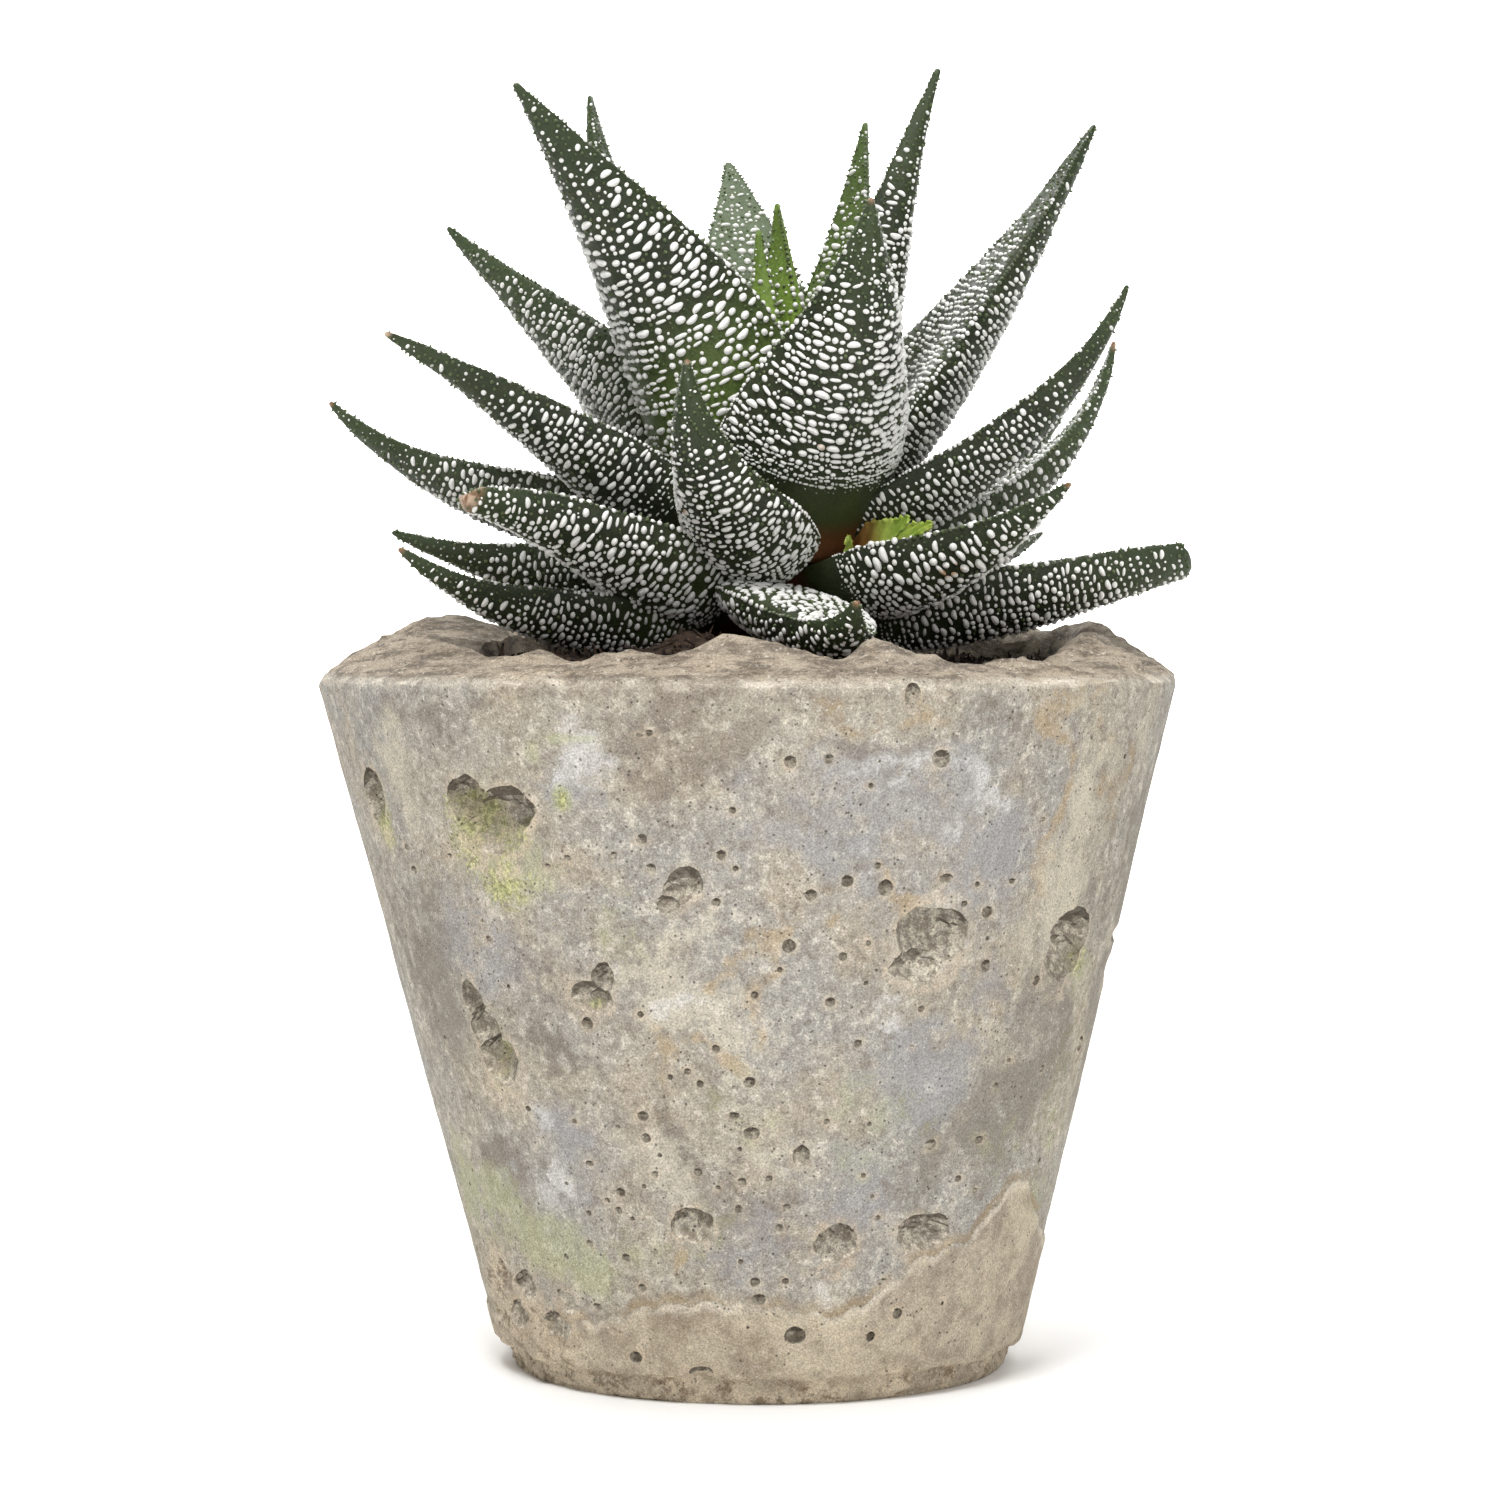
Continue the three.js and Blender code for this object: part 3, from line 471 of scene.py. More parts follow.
def above_skin_edge(points):
    azimuth = azimuth_of(points)
    ragged = 0.35 * np.sin(0.9 * azimuth) + 0.15 * np.sin(1.7 * azimuth + 1)
    return points[:, 2] - ragged - np.interp(azimuth, skin_azimuths, skin_heights, period=360)


def patch_mask(points, patches, warp=(0, 0)):
    azimuth, height = azimuth_of(points) + 7 * warp[0], points[:, 2] + 6 * warp[1]
    mask = np.zeros(len(points))
    for a, z, wide, high, strength in patches:
        reach = np.hypot(turn_from(a, azimuth) / wide, (height - z) / high)
        mask = np.maximum(mask, strength * smooth(1.5, 0.1, reach))
    return mask


def near_holes(points):
    """How near each point of the wall is to the edge of the nearest hole, 1 at the edge."""
    azimuth, height = azimuth_of(points), points[:, 2]
    scale = math.radians(1) * wall_radius(height)
    near = np.zeros(len(points))
    for hole in holes + bubbles:
        turn = turn_from(hole.azimuth, azimuth) * scale
        reach = np.hypot(turn / hole.across, (height - hole.z) / hole.up)
        near = np.maximum(near, smooth(1, 0, (reach - 1.05) * min(hole.across, hole.up) / 0.7))
    return near


def mark_cuts(mesh, cut):
    """Marks the faces inside holes, with how steeply each falls and how far it hangs over, for the painted
    shade in them.
    """
    normal = vectors(mesh.polygons, "normal")
    radial = vectors(mesh.polygons, "center") * [1, 1, 0] - [lean_at(pot["height"] / 2) * MM, 0, 0]
    radial /= np.maximum(np.linalg.norm(radial, axis=1, keepdims=True), 1e-9)
    facing = (normal * radial).sum(axis=1)
    store(mesh, "cut", cut, "FACE")
    store(mesh, "steep", cut * smooth(0.85, 0.35, facing), "FACE")
    store(mesh, "roof", cut * smooth(0.05, -0.6, normal[:, 2]), "FACE")


def mark_pot(mesh):
    """Marks each point with what the concrete's colour depends on there."""
    points = vectors(mesh.vertices, "co") / MM
    height = points[:, 2]
    radius = np.hypot(points[:, 0] - lean_at(height), points[:, 1])
    below = radius > 30
    outside = smooth(96.2, 94.5, height) * below
    ragged = roughness_at(points, 6.0, 4, 8)
    warp = roughness_at(points, 14.0, 4, 15), roughness_at(points, 14.0, 4, 16)
    for name, (_, _, rough, patches) in stains.items():
        mask = patch_mask(points, patches) if name in ("moss", "algae") else patch_mask(points, patches, warp)
        store(mesh, name, np.clip(mask * (1 + rough * ragged), 0, 1))
    above = above_skin_edge(points)
    store(mesh, "halo", near_holes(points) * outside)
    store(mesh, "layer", smooth(0.3, -0.3, above) * outside)
    store(mesh, "above_edge", np.clip(above, -6, 6) * outside + 6 * (1 - outside))
    store(mesh, "broken", smooth(95.6, 97.0, height))
    store(mesh, "brink", smooth(1.0, 0.1, np.abs(height - pot["height"] + 0.5 * ragged)))
    crumbled = patch_mask(points, eroded_patches) + 0.8 * smooth(4.6, 3.2, height)
    store(mesh, "eroded", np.clip(crumbled * (1 + 1.2 * ragged), 0, 1) * below)


class Nodes:
    """Short calls for building a shader or geometry tree."""

    def __init__(self, tree):
        self.tree = tree

    def link(self, source, target):
        self.tree.links.new(source, target)

    def node(self, kind, inputs, **settings):
        """A new node, with its settings made first and then its inputs linked or set."""
        made = self.tree.nodes.new(kind)
        for name, value in settings.items():
            setattr(made, name, value)
        for name, value in inputs.items():
            if isinstance(value, bpy.types.NodeSocket):
                self.link(value, made.inputs[name])
            else:
                made.inputs[name].default_value = value
        return made

    def group(self, group, **values):
        return self.node("ShaderNodeGroup", values, node_tree=group).outputs

    def noise(self, vector, scale, detail=3.0, rough=0.55):
        values = {"Vector": vector, "Scale": scale, "Detail": detail, "Roughness": rough}
        return self.node("ShaderNodeTexNoise", values).outputs["Fac"]

    def cells(self, vector, scale):
        return self.node("ShaderNodeTexVoronoi", {"Vector": vector, "Scale": scale}).outputs["Distance"]

    def span(self, value, low, high, to_low=0.0, to_high=1.0):
        values = {"Value": value, "From Min": low, "From Max": high, "To Min": to_low, "To Max": to_high}
        return self.node("ShaderNodeMapRange", values, interpolation_type="SMOOTHSTEP").outputs["Result"]

    def math(self, operation, a, b):
        return self.node("ShaderNodeMath", {0: a, 1: b}, operation=operation).outputs[0]

    def times(self, a, b):
        return self.math("MULTIPLY", a, b)

    def plus(self, a, b):
        return self.math("ADD", a, b)

    def mix(self, share, a, b, blend="MIX"):
        values = {"Factor": share, "A": a, "B": b}
        return self.node("ShaderNodeMix", values, data_type="RGBA", blend_type=blend).outputs["Result"]

    def attribute(self, name):
        return self.node("ShaderNodeAttribute", {}, attribute_name=name).outputs["Fac"]

    def place(self):
        return self.node("ShaderNodeTexCoord", {}).outputs["Object"]

    def stretched(self, vector, scale):
        return self.node("ShaderNodeMapping", {"Vector": vector, "Scale": scale}).outputs["Vector"]

    def bump(self, height, strength, distance):
        values = {"Height": height, "Strength": strength, "Distance": distance}
        return self.node("ShaderNodeBump", values).outputs["Normal"]


def new_group(name, inputs, outputs):
    """A shader node group with named inputs and outputs, and the calls and sockets to build it with."""
    group = bpy.data.node_groups.new(name, "ShaderNodeTree")
    for label, kind, value in inputs:
        socket = group.interface.new_socket(label, in_out="INPUT", socket_type=kind)
        if value is not None:
            socket.default_value = value
    for label, kind in outputs:
        group.interface.new_socket(label, in_out="OUTPUT", socket_type=kind)
    t = Nodes(group)
    return group, t, t.node("NodeGroupInput", {}).outputs, t.node("NodeGroupOutput", {}).inputs


def new_material(name, roughness):
    """A material, the calls to build it with, its shader's inputs and the place on the piece."""
    material = bpy.data.materials.new(name)
    material.use_nodes = True
    shader = material.node_tree.nodes["Principled BSDF"].inputs
    shader["Roughness"].default_value = roughness
    t = Nodes(material.node_tree)
    return material, t, shader, t.place()


def sand_grain_group():
    """Salt-and-pepper sand in a mineral surface: a colour multiplier's value and a height."""
    inputs = [("Vector", "NodeSocketVector", None), ("Grain", "NodeSocketFloat", 1400.0),
              ("Contrast", "NodeSocketFloat", 0.5)]
    outputs = [("Tone", "NodeSocketFloat"), ("Height", "NodeSocketFloat")]
    group, t, enter, leave = new_group("sand_grain", inputs, outputs)
    fine = t.noise(enter["Vector"], enter["Grain"], 2, 0.7)
    swing = t.times(t.math("SUBTRACT", fine, 0.5), enter["Contrast"])
    t.link(t.plus(t.times(swing, 2.6), 1.0), leave["Tone"])
    t.link(fine, leave["Height"])
    return group


def ragged_group():
    """Roughens the edge of a soft mask with fine noise."""
    inputs = [("Vector", "NodeSocketVector", None), ("Mask", "NodeSocketFloat", 0.0),
              ("Scale", "NodeSocketFloat", 500.0), ("Swing", "NodeSocketFloat", 1.0)]
    group, t, enter, leave = new_group("ragged_edge", inputs, [("Mask", "NodeSocketFloat")])
    fine = t.noise(enter["Vector"], enter["Scale"], 5, 0.68)
    swing = t.times(t.math("SUBTRACT", fine, 0.5), enter["Swing"])
    moved = t.plus(enter["Mask"], t.times(swing, t.span(enter["Mask"], 0.0, 0.3)))
    t.link(t.span(moved, 0.18, 0.82), leave["Mask"])
    return group


sand_grain = sand_grain_group()
ragged_edge = ragged_group()


def cast_surface(t, at):
    """The cast wall's own colour: broad patches of grey and buff, then mottles, then fine crackle."""
    grey, warm, cool = (0.415, 0.372, 0.300, 1), (0.47, 0.392, 0.282, 1), (0.37, 0.350, 0.315, 1)
    colour = t.mix(t.span(t.noise(at, 28, 5), 0.42, 0.58), grey, cool)
    colour = t.mix(t.span(t.noise(at, 75, 6, 0.62), 0.47, 0.66, 0, 0.6), colour, warm)
    colour = t.mix(t.span(t.noise(at, 95, 6, 0.7), 0.48, 0.34, 0, 0.5), colour, (0.30, 0.275, 0.24, 1))
    mottled = t.noise(at, 260, 8, 0.74)
    colour = t.mix(t.span(mottled, 0.52, 0.64, 0, 0.6), colour, (0.68, 0.63, 0.53, 1))
    colour = t.mix(t.span(mottled, 0.47, 0.35, 0, 0.55), colour, (0.25, 0.215, 0.175, 1))
    crackled = t.noise(at, 760, 6, 0.78)
    colour = t.mix(t.span(crackled, 0.46, 0.39, 0, 0.6), colour, (0.20, 0.17, 0.135, 1))
    return t.mix(t.span(crackled, 0.54, 0.61, 0, 0.5), colour, (0.78, 0.73, 0.64, 1))


def stained(t, at, colour):
    """Lays the stains and the dun's painted shade over the colour, speckles the moss, draws faint upright
    streaks.
    """
    for name, (stain, share, rough, _) in stains.items():
        scale = 1400.0 if name == "moss" else 420.0
        mask = t.group(ragged_edge, Vector=at, Mask=t.attribute(name), Scale=scale, Swing=0.6 + 1.8 * rough)
        if name == "moss":
            speckled = t.span(t.noise(at, 1500, 4, 0.75), 0.40, 0.60)
            stain = t.mix(speckled, (0.17, 0.185, 0.045, 1), (0.70, 0.69, 0.32, 1))
        colour = t.mix(t.times(mask[0], share), colour, stain)
    streaks = t.noise(t.stretched(at, (620, 620, 60)), 1.0, 4, 0.6)
    return t.mix(t.span(streaks, 0.50, 0.70, 0, 0.3), colour, (0.26, 0.235, 0.205, 1))


def lower_skin(t, at, colour):
    """The sandy skin round the foot, with a brown line above its edge and a pale lip on it."""
    above = t.attribute("above_edge")
    grain = t.span(t.noise(at, 150, 6, 0.68), 0.36, 0.62)
    sandy = t.mix(grain, (0.32, 0.248, 0.172, 1), (0.60, 0.51, 0.375, 1))
    colour = t.mix(t.times(t.attribute("layer"), 0.72), colour, sandy)
    line = t.times(t.span(above, 0.1, 0.5), t.span(above, 2.4, 0.9))
    line = t.times(line, t.span(t.noise(at, 130, 3), 0.35, 0.6, 0.15, 0.75))
    colour = t.mix(line, colour, (0.34, 0.255, 0.15, 1))
    lip = t.times(t.span(above, 0.35, 0.0), t.span(above, -1.4, -0.5))
    lip = t.times(lip, t.span(t.noise(at, 110, 3), 0.4, 0.6, 0.1, 0.6))
    return t.mix(lip, colour, (0.70, 0.63, 0.51, 1))


def broken_and_worn(t, at, colour):
    """The crust on the broken rim, the pale brink below it, the crumbled foot and the holes' edges."""
    chipped = t.noise(t.stretched(at, (190, 190, 720)), 1.0, 7, 0.74)
    crust = t.mix(t.span(chipped, 0.40, 0.58), (0.15, 0.118, 0.088, 1), (0.44, 0.365, 0.275, 1))
    crust = t.mix(t.span(t.noise(at, 900, 5, 0.75), 0.58, 0.64, 0, 0.7), crust, (0.74, 0.68, 0.58, 1))
    colour = t.mix(t.times(t.attribute("broken"), 0.85), colour, crust)
    brink = t.times(t.attribute("brink"), t.span(t.noise(at, 260, 4), 0.40, 0.60, 0.15, 0.75))
    colour = t.mix(brink, colour, (0.66, 0.60, 0.50, 1))
    crumbly = t.span(t.noise(at, 420, 7, 0.76), 0.40, 0.55)
    worn = t.mix(crumbly, (0.25, 0.185, 0.125, 1), (0.66, 0.56, 0.42, 1))
    colour = t.mix(t.times(t.attribute("eroded"), 0.92), colour, worn)
    halo = t.times(t.attribute("halo"), t.span(t.noise(at, 500, 3), 0.4, 0.62, 0.1, 0.6))
    return t.mix(halo, colour, t.mix(t.noise(at, 90), (0.50, 0.36, 0.21, 1), (0.70, 0.64, 0.54, 1)))


def inside_holes(t, at, colour):
    """Pale sandy floors in the holes, with painted shade under their upper edges and on their steep sides."""
    floor = t.mix(t.span(t.noise(at, 800, 5, 0.7), 0.42, 0.62), (0.34, 0.29, 0.225, 1), (0.86, 0.79, 0.65, 1))
    bare = t.times(t.attribute("cut"), t.span(t.attribute("moss"), 0.15, 0.5, 0.8, 0.0))
    colour = t.mix(bare, colour, floor)
    # Painted shade: faces that hang over or fall steeply inside a hole are darkened.
    shade = t.math("MAXIMUM", t.times(t.attribute("steep"), 0.16), t.times(t.attribute("roof"), 0.85))
    return t.mix(shade, colour, (0.085, 0.068, 0.05, 1))


def gritty(t, at, colour, tone):
    """Sand grain over the whole surface, with scattered dark specks and pale crystals."""
    colour = t.mix(1.0, colour, tone, "MULTIPLY")
    specks = t.times(t.span(t.cells(at, 900), 0.20, 0.12), t.span(t.noise(at, 260, 2), 0.48, 0.56))
    colour = t.mix(t.times(specks, 0.75), colour, (0.06, 0.05, 0.042, 1))
    crystals = t.times(t.span(t.cells(at, 1250), 0.19, 0.11), t.span(t.noise(at, 240, 2), 0.50, 0.38))
    return t.mix(t.times(crystals, 0.6), colour, (0.80, 0.76, 0.68, 1))


def concrete_material():
    material, t, shader, at = new_material("concrete", 0.9)
    grain = t.group(sand_grain, Vector=at, Grain=3800.0, Contrast=0.7)
    colour = cast_surface(t, at)
    for coat in (stained, lower_skin, broken_and_worn, inside_holes):
        colour = coat(t, at, colour)
    t.link(gritty(t, at, colour, grain["Tone"]), shader["Base Color"])
    skin = t.plus(t.times(grain["Height"], 0.5), t.noise(at, 700, 5, 0.65))
    rough = t.times(t.noise(at, 1300, 5, 0.72), t.plus(t.attribute("broken"), t.attribute("cut")))
    t.link(t.bump(t.plus(skin, t.times(rough, 1.4)), 0.8, 0.0006), shader["Normal"])
    t.link(t.span(t.noise(at, 80), 0.3, 0.7, 0.82, 0.97), shader["Roughness"])
    shader["Specular IOR Level"].default_value = 0.25
    return material


concrete_pot = add_object("concrete_pot", pot_shell())
cut_faces = cut_holes(concrete_pot)
mark_pot(concrete_pot.data)
mark_cuts(concrete_pot.data, cut_faces)
set_smooth(concrete_pot.data)
concrete_pot.data.set_sharp_from_angle(angle=math.radians(38))
concrete_pot.data.materials.append(concrete_material())
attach(concrete_pot, "root")
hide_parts("pot")

# ---------------------------------------------------------------------------------------------
# The leaves: thirty thick, keeled, pointed leaves in a rosette, joined to the stem at their
# smooth green bases. Their skin is dark and waxy, with firm white tubercles that stand proud.

PLANT_X = 2
HANDLE = 0.36
ROOT_REACH = 0.07
SKIN_STEPS = 220
BODY_AROUND = 40
BODY_ROW = 0.9
TIP_RADIUS = 0.5

# Root azimuth, radius and height, rise at the root, tip, rise at the tip, width, roll, the share
# lost at a blunt tip and the hollow above; then the tubercles' size and spare room, how fresh the
# green is, with painted glow of light shining through the leaf, and how hazy the green is.
Leaf = namedtuple("Leaf", "azimuth radius height rise tip end width roll blunt cup size spare fresh haze",
                  defaults=(0, 0, 0, 0))
leaves = [Leaf(*row) for row in (
    (40, 2, 126, 86, (2.5, 2, 162.5), 84, 14, 0, 0, 1, 0.95, 0.5, 0.95, 0),
    (220, 2, 126, 86, (-0.2, -3, 158.3), 84, 11, 0, 0, 1, 0.9, 0.5, 0.95, 0),
    (40, 5, 122, 68, (15.2, 12, 175), 82, 18, 0, 0, 1, 1.1, 0.16, 0.4, 0.2),
    (157, 5, 121, 68, (-24.1, 10, 178.6), 86, 22, 0, 0, 1, 0.85, 0.3, 0.05, 0.3),
    (338, 6, 120.5, 66, (24.9, -4, 180.5), 70, 16, -20, 0, 1, 0.9, 0.25, 0.05, 0),
    (102, 8, 119, 78, (-4.6, 31, 171.3), 46, 25, 0, 0, 1, 1.1, 0.08, 0.1, 0.9),
    (225, 8, 118.5, 80, (-32.9, -25, 175.8), 50, 26, 22, 0, 1, 1.05, 0.24, 0.6, 0),
    (12, 9, 119, 54, (47.6, 9, 174.3), 62, 23, 10, 0, 1, 0.85, 0.34, 0.0, 0.0),
    (295, 11, 117, 66, (14.8, -29, 160.2), 90, 28, 0, 0, 1, 1.0, 0.1, 0.05, 0),
    (168, 9, 120, 58, (-44.3, 9, 159.8), 46, 24.5, 18, 0, 1, 0.85, 0.16, 0.0, 0.3),
    (54, 9, 116, 46, (30, 44, 147), 55, 17, 0, 0, 1, 0.9, 0.2, 0.2, 0),
    (90, 10, 115, 44, (0, 56, 144), 40, 18, 0, 0, 1, 0.95, 0.18, 0.2, 0),
    (130, 11, 114.5, 46, (-30, 44, 146), 50, 18, 0, 0, 1, 0.9, 0.2, 0.2, 0),
    (206, 12, 114, 38, (-50.4, -24, 142.6), 26, 19, 4, 0, 1, 0.84, 0.34, 0, 0),
    (345, 9, 113.5, 30, (50.3, -13, 149.9), 68, 18, 0, 0, 1, 0.78, 0.38, 0, 0),
    (262, 9, 112, -2, (-9.6, -35, 138.4), 100, 18.5, 0, 0, 1, 0.82, 0.28, 0.05, 0),
    (32, 10, 112, 24, (46, 32, 137), 50, 17, 0, 0, 1, 0.9, 0.22, 0.15, 0),
    (184, 10, 112, 22, (-60.2, 0, 134.6), 46, 21, 10, 0, 1, 0.78, 0.26, 0.1, 0.1),
    (6, 10, 109.5, 18, (50.1, 6, 143.5), 80, 16, 0, 0, 1, 0.85, 0.42, 0, 0.3),
    (154, 10, 110, 14, (-44, 30, 124), 20, 17, 0, 0, 1, 0.9, 0.2, 0.1, 0),
    (325, 9, 107.2, 7, (41.3, -30, 122.3), 36, 19.5, -6, 0, 1, 1.1, 0.2, 0.0, 0),
    (72, 10, 108, 12, (19, 52, 121), 24, 17, 0, 0, 1, 0.95, 0.2, 0.1, 0),
    (110, 10, 107, 12, (-17, 53, 121), 26, 17, 0, 0, 1, 0.95, 0.2, 0.1, 0),
    (179, 11, 106.5, 12, (-51, -6, 116.3), 22, 19, 14, 0, 1, 0.82, 0.28, 0.1, 0.1),
    (38, 11, 106, 10, (42, 34, 117), 25, 16, 0, 0, 1, 0.95, 0.2, 0.1, 0),
    (138, 11, 105, 10, (-34, 40, 113), 22, 16, 0, 0, 1, 0.95, 0.2, 0.1, 0),
    (224, 10, 105.5, 15, (-39.2, -33, 120), 6, 20, 6, 0.18, 1, 0.98, 0.18, 0.1, 0),
    (204, 11, 102.5, 3, (-48.3, -27, 113.7), 36, 18, 8, 0, 1, 0.8, 0.34, 0.1, 0),
    (350, 11, 103, 4, (59.7, -8, 112.4), 12, 19, -10, 0.3, 1, 0.9, 0.26, 0.05, 0),
    (276, 10, 105.5, -3, (12.6, -45, 106.6), 56, 22, -14, 0, -1, 0.88, 0.42, 0.2, 0.05),
)]
# Leaves whose tips have dried brown, and by how much of their length.
dry_tips = {9: 0.008, 14: 0.012, 16: 0.012, 18: 0.01, 19: 0.02, 21: 0.012, 27: 0.022, 28: 0.012, 30: 0.012}
# Leaves that are green all along, not only at the base.
young_leaves = {1, 2, 3}
# Leaves that are covered as thickly at the tip as elsewhere.
full_tips = {21, 27, 28, 29, 30}
# Leaves that stay bare over more of their length than the rest.
bare_bases = {9: 0.19, 21: 0.2, 14: 0.16, 18: 0.18}
BARE_BASE = 0.1


def unit(v):
    return v / np.maximum(np.linalg.norm(v, axis=-1, keepdims=True), 1e-9)


def leaf_outline(s):
    waist = np.maximum(0, 1 - s / 0.42)
    return (1 - s) ** 0.95 * (1 - 0.42 * waist * waist) / 0.735


def leaf_section(q, s, cup):
    """Hollow or swollen above, keeled below, in units of the half-width."""
    x, y = np.cos(q), np.sin(q)
    keel = 0.54 + 0.34 * np.minimum(1, s / 0.6)
    middle = 0.5 * keel - 0.06 + 0.28 * cup * (1 - s) ** 2 * (x * x - 0.4)
    above = middle + 0.12 * y * (1 - 0.55 * y * y)
    below = middle - keel * np.abs(y) ** 1.2
    return x, np.where(y >= 0, above, below)


class LeafSkin:
    """The skin of one leaf: a point for each angle q round it and each place s along it."""

    def __init__(self, leaf, seed, thickness=1.0):
        self.width, self.cup, self.shown = leaf.width, leaf.cup, 1 - leaf.blunt
        self.thickness = thickness
        root = np.array([PLANT_X, 0, leaf.height]) + leaf.radius * direction(leaf.azimuth)
        tip = np.array(leaf.tip, float)
        arm = HANDLE * np.linalg.norm(tip - root)
        first = root + arm * direction(leaf.azimuth, leaf.rise)
        heading = math.degrees(math.atan2(tip[1] - first[1], tip[0] - first[0]))
        second = tip - arm * direction(heading, leaf.end)
        self.s = np.linspace(-ROOT_REACH, 1, SKIN_STEPS)
        t = np.maximum(self.s, 0)[:, None]
        u = 1 - t
        centre = u ** 3 * root + 3 * t * u ** 2 * first + 3 * t * t * u * second + t ** 3 * tip
        tangent = unit(u ** 2 * (first - root) + 2 * t * u * (second - first) + t * t * (tip - second))
        self.length = np.linalg.norm(np.diff(centre, axis=0), axis=1).sum()
        centre += np.minimum(self.s, 0)[:, None] * self.length * tangent[0]
        a, roll = math.radians(leaf.azimuth), math.radians(leaf.roll)
        c, d = math.cos(roll), math.sin(roll)
        across = np.array([-math.sin(a), math.cos(a), 0])
        sides, ups = [], []
        for along in tangent:
            across = unit(across - along * (along @ across))
            up = np.cross(along, across)
            sides.append(across * c + up * d)
            ups.append(up * c - across * d)
        self.frame = np.hstack([centre, np.array(sides), np.array(ups)])
        self.phase = np.random.default_rng(seed).uniform(0, 6.28, 3)

    def plain(self, q, s):
        frame = np.stack([np.interp(s, self.s, column) for column in self.frame.T], -1)
        centre, side, up = frame[..., 0:3], frame[..., 3:6], frame[..., 6:9]
        form = np.maximum(0, s) * self.shown
        half = np.hypot(self.width / 2 * leaf_outline(np.minimum(form, 1)), TIP_RADIUS)
        end = np.clip(1 - (1 - s) * self.length / (TIP_RADIUS + 1.6 * (1 - self.shown) ** 0.5), 0, 1)
        half = half * np.sqrt(np.maximum(0.01, 1 - end ** 2))
        x, y = leaf_section(q, form, self.cup)
        swell = 0.016 * np.sin(3 * q + (self.phase[0] + 7 * s))
        swell = swell + 0.014 * np.sin(2 * q + (self.phase[1] - 11 * s))
        swell = swell + 0.01 * np.sin(5 * q + (self.phase[2] + 17 * s))
        x = x * (1 + swell)
        y = (y * (1 + swell) + 0.5 * swell) * self.thickness
        y = y * (1 + 0.6 * smooth(0.8, 1.0, form))
        return centre + (half * x)[..., None] * side + (half * y)[..., None] * up

    def at(self, q, s):
        """The point, the outward normal, the unit directions across and along the leaf, and the area."""
        q, s = np.broadcast_arrays(np.asarray(q, float), np.asarray(s, float))
        point = self.plain(q, s)
        by_q = self.plain(q + 0.02, s) - self.plain(q - 0.02, s)
        by_s = self.plain(q, np.minimum(s + 0.004, 1)) - self.plain(q, s - 0.004)
        upright = np.cross(by_q, by_s)
        normal, along = unit(upright), unit(by_s)
        return point, normal, np.cross(along, normal), along, np.linalg.norm(upright, axis=-1)


def leaf_body(number, leaf, skin):
    """The leaf without its tubercles: close rings of points, with what its colour depends on."""
    rows = int(skin.length / BODY_ROW) + 6
    s = -ROOT_REACH + (0.996 + ROOT_REACH) * np.linspace(0, 1, rows) ** 0.92
    q = np.linspace(0, 2 * math.pi, BODY_AROUND, endpoint=False)
    rings = list(skin.at(*np.meshgrid(q, s))[0] * MM)
    mesh = closed_mesh(f"body_{number:02d}", rings, skin.frame[0, :3] * MM, skin.frame[-1, :3] * MM)
    along = np.concatenate([[s[0]], np.repeat(s, BODY_AROUND), [1.0]])
    even = np.ones(len(along))
    dry = dry_tips.get(number, 0)
    store(mesh, "along", along)
    store(mesh, "fresh", leaf.fresh * (even if number in young_leaves else smooth(0.55, 0.05, along)))
    store(mesh, "dry", smooth(1 - dry * 1.3, 1 - dry * 0.7, along) if dry else 0 * even)
    store(mesh, "haze", leaf.haze * even)
    set_smooth(mesh)
    return mesh


KINDS = {"round": 0, "oval": 1, "bean": 2, "double": 3, "small": 4, "tooth": 5}
# How much longer across the leaf each kind's dome is than along it, in the same order.
STRETCHES = (1, 1.3, 1.75, 1.8, 1, 1)
# Half-length over half-width of the tubercles laid in rows.
ASPECTS = {"round": 1.0, "oval": 1.35, "bean": 2.1, "double": 2.3}


def dome(around, profile, stretch=1.0, bend=0.0, pinch=0.0):
    """A small closed dome of unit size, longer across the leaf where stretch is more than one."""
    angle = np.linspace(0, 2 * math.pi, around, endpoint=False)
    rings = []
    for r, z in profile[:-1]:
        wide = r * (1 + pinch * np.cos(2 * angle))
        x = wide * np.cos(angle) * stretch
        y = wide * np.sin(angle) + bend * (x * x / stretch ** 2 - 0.35) * r
        rings.append(np.stack([x, y, np.full(around, z)], 1))
    bottom = (0, -0.35 * bend, profile[0][1])
    return closed_mesh("dome", rings, bottom, (0, -0.3 * bend, profile[-1][1]))


def tubercle_shapes():
    """A collection with one dome for each kind, in the order of KINDS."""
    full = [(1.0, -0.35), (0.94, 0.22), (0.62, 0.56), (0, 0.70)]
    low = [(1.0, -0.3), (0.78, 0.36), (0, 0.66)]
    sharp = [(1.0, -0.4), (0.55, 0.5), (0, 1.15)]
    meshes = [dome(10, full), dome(10, full, 1.3), dome(12, full, 1.75, 0.35), dome(12, full, 1.8, 0.0, 0.16),
              dome(7, low), dome(5, sharp)]
    shapes = bpy.data.collections.new("tubercle_shapes")
    for i, mesh in enumerate(meshes):
        set_smooth(mesh)
        shapes.objects.link(bpy.data.objects.new(f"shape_{i}", mesh))
    return shapes


def remove_shapes(shapes):
    for shape in list(shapes.objects):
        bpy.data.objects.remove(shape)
    bpy.data.collections.remove(shapes)


